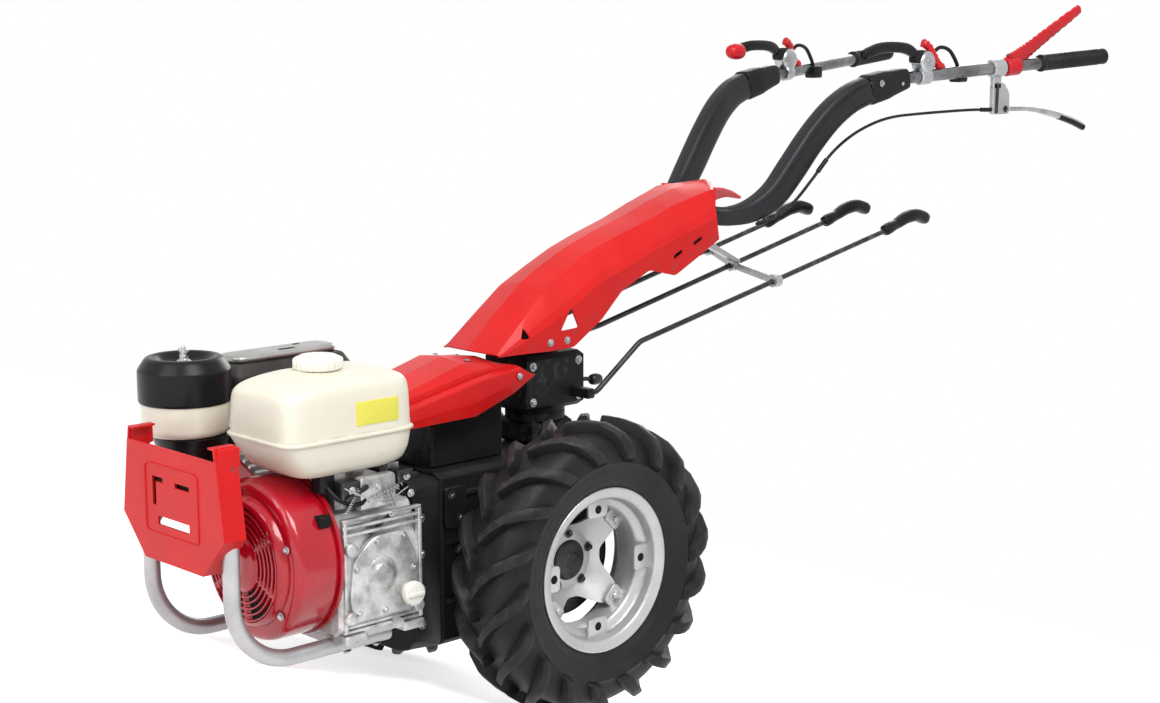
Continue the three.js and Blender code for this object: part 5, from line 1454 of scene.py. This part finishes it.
ARM_EYE = (-490, 0, 808)  # the middle of the tilt hinge's pin
ARM = np.array([  # middle line x, y, z, section height and width
    [-490, 58.5, 808, 36, 25], [-522, 78, 806, 36, 30], [-556, 105, 817, 44, 36], [-598, 121, 844, 54, 38],
    [-640, 129, 890, 58, 40], [-686, 137, 944, 58, 40], [-733, 146, 990, 57, 40], [-779, 154, 1020, 56, 40],
    [-823, 160, 1036, 55, 40]], float)
CLAMP_END = np.array([-934, 170, 1058.0])
KNEE = np.array([-1030, 188, 1064.0])
HANDLE_END = np.array([-1469, 285, 1095.0])
RUN = np.linalg.norm(HANDLE_END - KNEE)
HANDLE_DIRECTION = (HANDLE_END - KNEE) / RUN


def on_handle(distance):
    """The point of the tube's straight run at a distance behind its bend."""
    return KNEE + distance * HANDLE_DIRECTION


def arm():
    """A soft-cornered section, its height and width given along the line, swept from eye to clamp."""
    path = curve(ARM, 8)
    return sweep(path[:, :3], oval(path[:, 4], path[:, 3], 3.4, 44), edge=2)


def arm_trim():
    """A raised moulding along each edge of the arm's outer face."""
    path = curve(ARM, 8)[12:]
    ahead = unit(np.gradient(path[:, :3], axis=0))
    rise = unit(np.cross([0, 1, 0], ahead))
    rise = rise * np.sign(rise[:, 2:3])
    parts = []
    for share in (0.60, -0.60):
        line = path[:, :3] + rise * (share * path[:, 3:4] / 2) + [0, 1, 0] * (path[:, 4:5] / 2 * 0.93)
        parts.append(sweep(line, oval(4.4, 4.4, 2, 12), edge=0.5))
    return join(*parts)


def clamp():
    """The sleeve that leaves the arm along its line and narrows towards the tube."""
    tip, before = ARM[-1, :3], ARM[-2, :3]
    leaving = unit(tip - before)
    start = tip + 0.3 * leaving
    half_way = start + 0.55 * (CLAMP_END - start)
    line = curve([start, start + 0.3 * (CLAMP_END - start), half_way, CLAMP_END], 6)
    s = np.linspace(0, 1, len(line))
    tall = np.interp(s, [0, 0.05, 0.55, 0.95, 1], [57, 59, 56, 42, 40])
    wide = np.interp(s, [0, 0.55, 1], [43, 41, 34])
    return sweep(line, oval(wide, tall, 4.2, 44), edge=3)


def handle_tube():
    """A round tube with one wide bend, from inside the sleeve to the grip's end."""
    line = soften([CLAMP_END - 12 * unit(KNEE - CLAMP_END), KNEE, on_handle(RUN - 6)], 60, 16)
    return sweep(line, ring(12.5, 32), edge=1)


GRIP_LENGTH = 185.0


def grip():
    """Rubber with rings, radius 15.8 + 0.9 cos(2 pi x / 7.5), and a rounded swelling at each end."""
    x = np.linspace(0, GRIP_LENGTH, 151)
    rings = 15.8 + 0.9 * np.cos(2 * np.pi * x / 7.5) * ((x > 14) & (x < GRIP_LENGTH - 14))
    flange = 2.2 * np.exp(-(((x - 5) / 4.0) ** 2)) + 1.0 * np.exp(-(((x - GRIP_LENGTH + 4) / 4.0) ** 2))
    line = on_handle(0) + np.outer(RUN - GRIP_LENGTH + x, HANDLE_DIRECTION)
    section = (rings + flange)[:, None, None] * ring(1.0, 36)
    return sweep(line, section, edge=3)


def stop_lever():
    """A bar with serrated edges that rises back from its collar, its height and width tapering."""
    hub = on_handle(188)
    tip = hub + [-206, 26, 118]
    collar = sweep(np.linspace(on_handle(170), on_handle(206), 8), ring(19, 32), edge=3)
    line = curve([hub + [6, 0, 8], hub + 0.18 * (tip - hub) + [0, 0, 6],
                  hub + 0.5 * (tip - hub) + [0, 0, 4], tip], 20)
    s = np.linspace(0, 1, len(line))
    teeth = 1.3 * np.sign(np.sin(2 * np.pi * 17 * s)) * (s > 0.2)
    height = np.interp(s, [0, 0.15, 0.5, 0.9, 1], [36, 34, 28, 22, 18]) + teeth
    width = np.interp(s, [0, 0.2, 1], [18, 15, 12])
    return join(collar, sweep(line, oval(width, height, 3, 28), edge=4))


CLUTCH_AT = on_handle(148)
CLUTCH_PIVOT = CLUTCH_AT - [0, 0, 84]


def clutch_hanger():
    """A band round the tube, a neck and a plate cut to a sloping outline."""
    band = sweep(np.linspace(on_handle(132), on_handle(164), 6), ring(18, 32), edge=1.5)
    x, y, z = CLUTCH_AT
    neck = box((x - 14, y - 5, z - 42), (x + 14, y + 5, z - 8), 3, 1.5)
    outline = [[x - 44, z - 94], [x + 14, z - 94], [x + 14, z - 30], [x - 24, z - 30], [x - 44, z - 52]]
    plate = slab(soften(outline, 7, loop=True), y - 5, y + 5, "y", 1.5)
    return join(band, neck, plate)


def clutch_blade():
    """The long lever's section, deeper from half way, along a line that falls and spreads."""
    x, y, z = CLUTCH_PIVOT
    line = curve([[x - 45.3, y, z], [x - 104, y + 12, z - 2], [x - 168, y + 20, z - 12],
                  [x - 232, y + 28, z - 28], [x - 280, y + 34, z - 45]], 10)
    s = np.linspace(0, 1, len(line))
    height = np.interp(s, [0, 0.35, 0.5, 0.95, 1], [10, 10, 14, 14, 10])
    return sweep(line, oval(height * 0.9, height, 2.6, 24), edge=2.5), line


def clutch_wire():
    """The cable along the arm's underside to its foot, with three ferrules."""
    x, y, z = CLUTCH_PIVOT
    route = [[x + 14.8, y, z], [x + 80, y - 12, z + 1], [-961, 192, 988], [-875, 188, 984],
             [-813, 184, 972], [-753, 180, 950], [-706, 172, 918], [-664, 162, 872], [-628, 150, 832],
             [-590, 134, 803], [-556, 116, 791]]
    line = curve(route, 10)
    ferrules = [sweep(line[k:k + 6], ring(4.6, 16), edge=1) for k in (0, 62, 94)]
    return join(sweep(line, ring(3, 14)), *ferrules)


LEVER_AT = (CLAMP_END + KNEE) / 2


def lever_drum():
    """The ratchet drum on the tube: a clamp ring, a round housing and its cover screw."""
    ahead = unit(KNEE - CLAMP_END)
    ring_clamp = sweep(np.linspace(LEVER_AT - 14 * ahead, LEVER_AT + 14 * ahead, 5), ring(17, 32), edge=2)
    centre = LEVER_AT + [0, 0, 27]
    profile = [[0, -17], [17, -17], [23, -12], [23, 12], [17, 17], [0, 17]]
    housing = lathe(soften(profile, 3), centre, "y", 48)
    screw = fasteners([(centre + [0, 17, 0], (0, 1, 0))], 9, 5)
    lug = box(LEVER_AT + [-12, -10, 8], LEVER_AT + [12, 10, 24], 4, 2)
    return join(ring_clamp, housing, screw, lug)


def hand_lever():
    """A soft-cornered section, fullest at its middle, along a line that rises forward and dips."""
    x, y, z = LEVER_AT
    line = curve([[x + 10, y, z + 34], [x + 30, y, z + 44], [x + 60, y - 4, z + 56],
                  [x + 120, y - 8, z + 58], [x + 160, y - 9, z + 50], [x + 180, y - 10, z + 42]], 8)
    s = np.linspace(0, 1, len(line))
    height = np.interp(s, [0, 0.15, 0.35, 0.7, 0.95, 1], [14, 16, 22, 22, 18, 14])
    return sweep(line, oval(height * 0.95, height, 2.8, 32), edge=5)


def pawl():
    """The catch behind the drum: a section with toothed edges along a hooked line."""
    x, y, z = LEVER_AT
    line = curve([[x + 4, y, z + 66], [x - 12, y + 2, z + 58], [x - 24, y + 6, z + 40],
                  [x - 36, y + 8, z + 24], [x - 54, y + 8, z + 14]], 10)
    s = np.linspace(0, 1, len(line))
    height = 15 + 2.2 * np.sign(np.sin(2 * np.pi * 8 * s))
    return sweep(line, oval(14, height, 3, 24), edge=2)


def lever_stay():
    """The stiff bent guide that leaves the drum over the tube, and its foot on the tube."""
    x, y, z = LEVER_AT
    guide = curve([[x - 18, y + 4, z + 40], [x - 44, y + 6, z + 56], [x - 74, y + 8, z + 50],
                   [x - 96, y + 10, z + 26], [x - 104, y + 10, z + 8]], 10)
    foot = box((x - 118, y - 4, z - 14), (x - 92, y + 24, z + 12), 5, 2, "x")
    block = box((x + 6, y - 12, z + 26), (x + 34, y + 10, z + 52), 6, 3, "y")
    return join(sweep(guide, ring(4, 16)), foot, block)


def add_handle(label, side):
    """One arm with its sleeve, tube, grip and hand lever; the right one mirrors the left."""

    def put(name, slot, material, shape, *nodes):
        shape = shape if side > 0 else mirror(shape)
        make(f"{label}_{name}", "handlebar", slot, material, shape, stands_for=nodes)

    eye = lathe(soften([[0, 70], [17, 70], [20, 67], [20, 45], [0, 45]], 2), ARM_EYE, "y", 48)
    put("arm_profile", "black_paint", ARM_BLACK, join(arm(), eye), f"{label}_arm")
    put("arm_moulding", "black_paint", BLACK, arm_trim())
    put("arm_sleeve", "black_paint", BLACK, clamp(), f"{label}_arm_clamp")
    sleeve = ARM[-1, :3] + 0.45 * (CLAMP_END - ARM[-1, :3])
    sleeve_bolts = [(sleeve + [30, 20, 4], (0, 1, 0)), (sleeve + [-34, 19, 2], (0, 1, 0))]
    put("arm_sleeve_bolts", "machined_steel", STEEL, fasteners(sleeve_bolts, 7, 5))
    put("handle_bar", "silver_paint", HANDLE_TUBE_PAINTED_REFLECTION, handle_tube(), f"{label}_handle_tube")
    put("handle_grip", "grip_rubber", GRIP, grip(), f"{label}_grip")
    put("lever_drum", "silver_paint", STEEL, lever_drum(), f"{label}_lever_bracket")
    put("lever_blade", "black_plastic", PLASTIC, hand_lever(), f"{label}_hand_lever")
    put("lever_stay", "black_plastic", PLASTIC, lever_stay())
    put("lever_pawl", "red_plastic", RED_PLASTIC, pawl())


add_handle("left", 1)
add_handle("right", -1)
knob_at = LEVER_AT * [1, -1, 1] + [172, 10, 46]
knob_profile = [[0, -22], [12, -22], [16, -14], [17, 0], [14, 14], [8, 20], [0, 20]]
make("right_lever_knob", "handlebar", "red_plastic", RED_PLASTIC,
     lathe(soften(knob_profile, 6), knob_at, "x", 36))
make("stop_lever_blade", "handlebar", "red_plastic", RED_PLASTIC, stop_lever(), stands_for=("stop_lever",))
make("clutch_hanger_plate", "handlebar", "silver_paint", TUBE, clutch_hanger(),
     stands_for=("clutch_bracket",))
make("clutch_hanger_pin", "handlebar", "machined_steel", DARK_STEEL,
     sweep(np.linspace(CLUTCH_AT + [2, 6.5, -30], CLUTCH_AT + [4, 6.5, -92], 6), ring(3.2, 14)),
     fasteners([(CLUTCH_AT + [-30, 5, -84], (0, 1, 0))], 7, 5))
blade, blade_line = clutch_blade()
make("clutch_blade", "handlebar", "silver_paint", STEEL, blade, stands_for=("clutch_lever",))
make("clutch_blade_sleeve", "handlebar", "black_plastic", PLASTIC,
     sweep(blade_line[24:] - [0, 0, 1.5], oval(13.5, 13, 2.6, 24), edge=3))
make("clutch_wire", "handlebar", "black_plastic", PLASTIC, clutch_wire(), stands_for=("clutch_cable",))

# ---------------------------------------------------------------- floor, light and camera

FLOOR_HALF = 30.0  # metres
FLOOR_LIFT = 0.68  # the emission that brings the lit floor up to white where it is seen


def seen_rays(g):
    """1 for rays from the camera, off gloss and through glass, and 0 for the rays that light."""
    rays = g.add("LightPath").outputs
    bounced = g.math("MAXIMUM", rays["Is Glossy Ray"], rays["Is Transmission Ray"])
    return g.math("MAXIMUM", rays["Is Camera Ray"], bounced)


def backdrop():
    """A pale floor: white to the camera and in reflections, and still darkened by shadows."""
    mesh = bpy.data.meshes.new("floor")
    corners = [(x * FLOOR_HALF, y * FLOOR_HALF, 0) for x, y in ((-1, -1), (1, -1), (1, 1), (-1, 1))]
    mesh.from_pydata(corners, [], [(0, 1, 2, 3)])
    material = bpy.data.materials.new("pale_floor")
    material.use_nodes = True
    g = Graph(material.node_tree)
    surface = material.node_tree.nodes["Principled BSDF"]
    surface.inputs["Base Color"].default_value = (0.85, 0.85, 0.85, 1)
    surface.inputs["Roughness"].default_value = 0.9
    surface.inputs["Emission Color"].default_value = (1, 1, 1, 1)
    lift = g.math("MULTIPLY", seen_rays(g), FLOOR_LIFT)
    g.tree.links.new(lift, surface.inputs["Emission Strength"])
    mesh.materials.append(material)
    put_in_scene("floor", mesh)


def world_light():
    """A soft grey-blue light all round that is white where it is seen."""
    world = bpy.data.worlds.new("studio")
    bpy.context.scene.world = world
    world.use_nodes = True
    g = Graph(world.node_tree)
    soft = world.node_tree.nodes["Background"]
    soft.inputs["Color"].default_value = (0.95, 0.97, 1.0, 1)
    soft.inputs["Strength"].default_value = 0.42
    white = g.add("Background", {}, Color=(1, 1, 1, 1), Strength=1.0)
    mix = g.add("MixShader", {}, i0=seen_rays(g), i1=soft.outputs[0], i2=white.outputs[0])
    out = world.node_tree.nodes["World Output"]
    world.node_tree.links.new(mix.outputs[0], out.inputs["Surface"])


def lamp(name, place, target, size, power):
    """A rectangular lamp of some watts at a place, aimed at its target."""
    data = bpy.data.lights.new(name, "AREA")
    data.shape = "RECTANGLE"
    data.size, data.size_y = size
    data.energy = power
    made = put_in_scene(name, data)
    made.location = place
    aim = np.array(target) - np.array(place)
    made.rotation_euler = Vector(aim).to_track_quat("-Z", "Y").to_euler()


VIEW_YAW, VIEW_PITCH = math.radians(-133.72), math.radians(9.66)
VIEW_FROM = np.array([2260.2, 2580.6, 1181.3])  # on the level machine
LENS, SENSOR = 61.38, 36.0


def camera():
    """The camera leans with the machine, so the parked machine is seen as if it stood level."""
    flat = math.cos(VIEW_PITCH)
    ahead = np.array([math.cos(VIEW_YAW) * flat, math.sin(VIEW_YAW) * flat, -math.sin(VIEW_PITCH)])
    right = np.array([math.sin(VIEW_YAW), -math.cos(VIEW_YAW), 0])
    up = np.cross(right, ahead)
    start = parked(VIEW_FROM)
    view_x, view_y, view_z = [parked(VIEW_FROM + 1000 * v) - start for v in (right, up, ahead)]
    basis = Matrix.Identity(4)
    for column, vector in enumerate((view_x, view_y, -view_z, start)):
        for row in range(3):
            basis[row][column] = vector[row]
    data = bpy.data.cameras.new("camera")
    data.lens, data.sensor_width = LENS, SENSOR
    data.clip_end = 100
    made = put_in_scene("camera", data)
    made.matrix_world = basis
    bpy.context.scene.camera = made


backdrop()
world_light()
lamp("key", (1.9, 2.4, 3.2), (0.1, 0, 0.5), (1.8, 1.8), 112)
lamp("fill", (3.4, 0.2, 1.6), (0.2, 0, 0.5), (1.6, 1.6), 34)
lamp("rear", (-2.6, -1.8, 2.8), (-0.2, 0, 0.7), (2.0, 2.0), 45)
camera()
bpy.context.scene.view_settings.view_transform = "Standard"

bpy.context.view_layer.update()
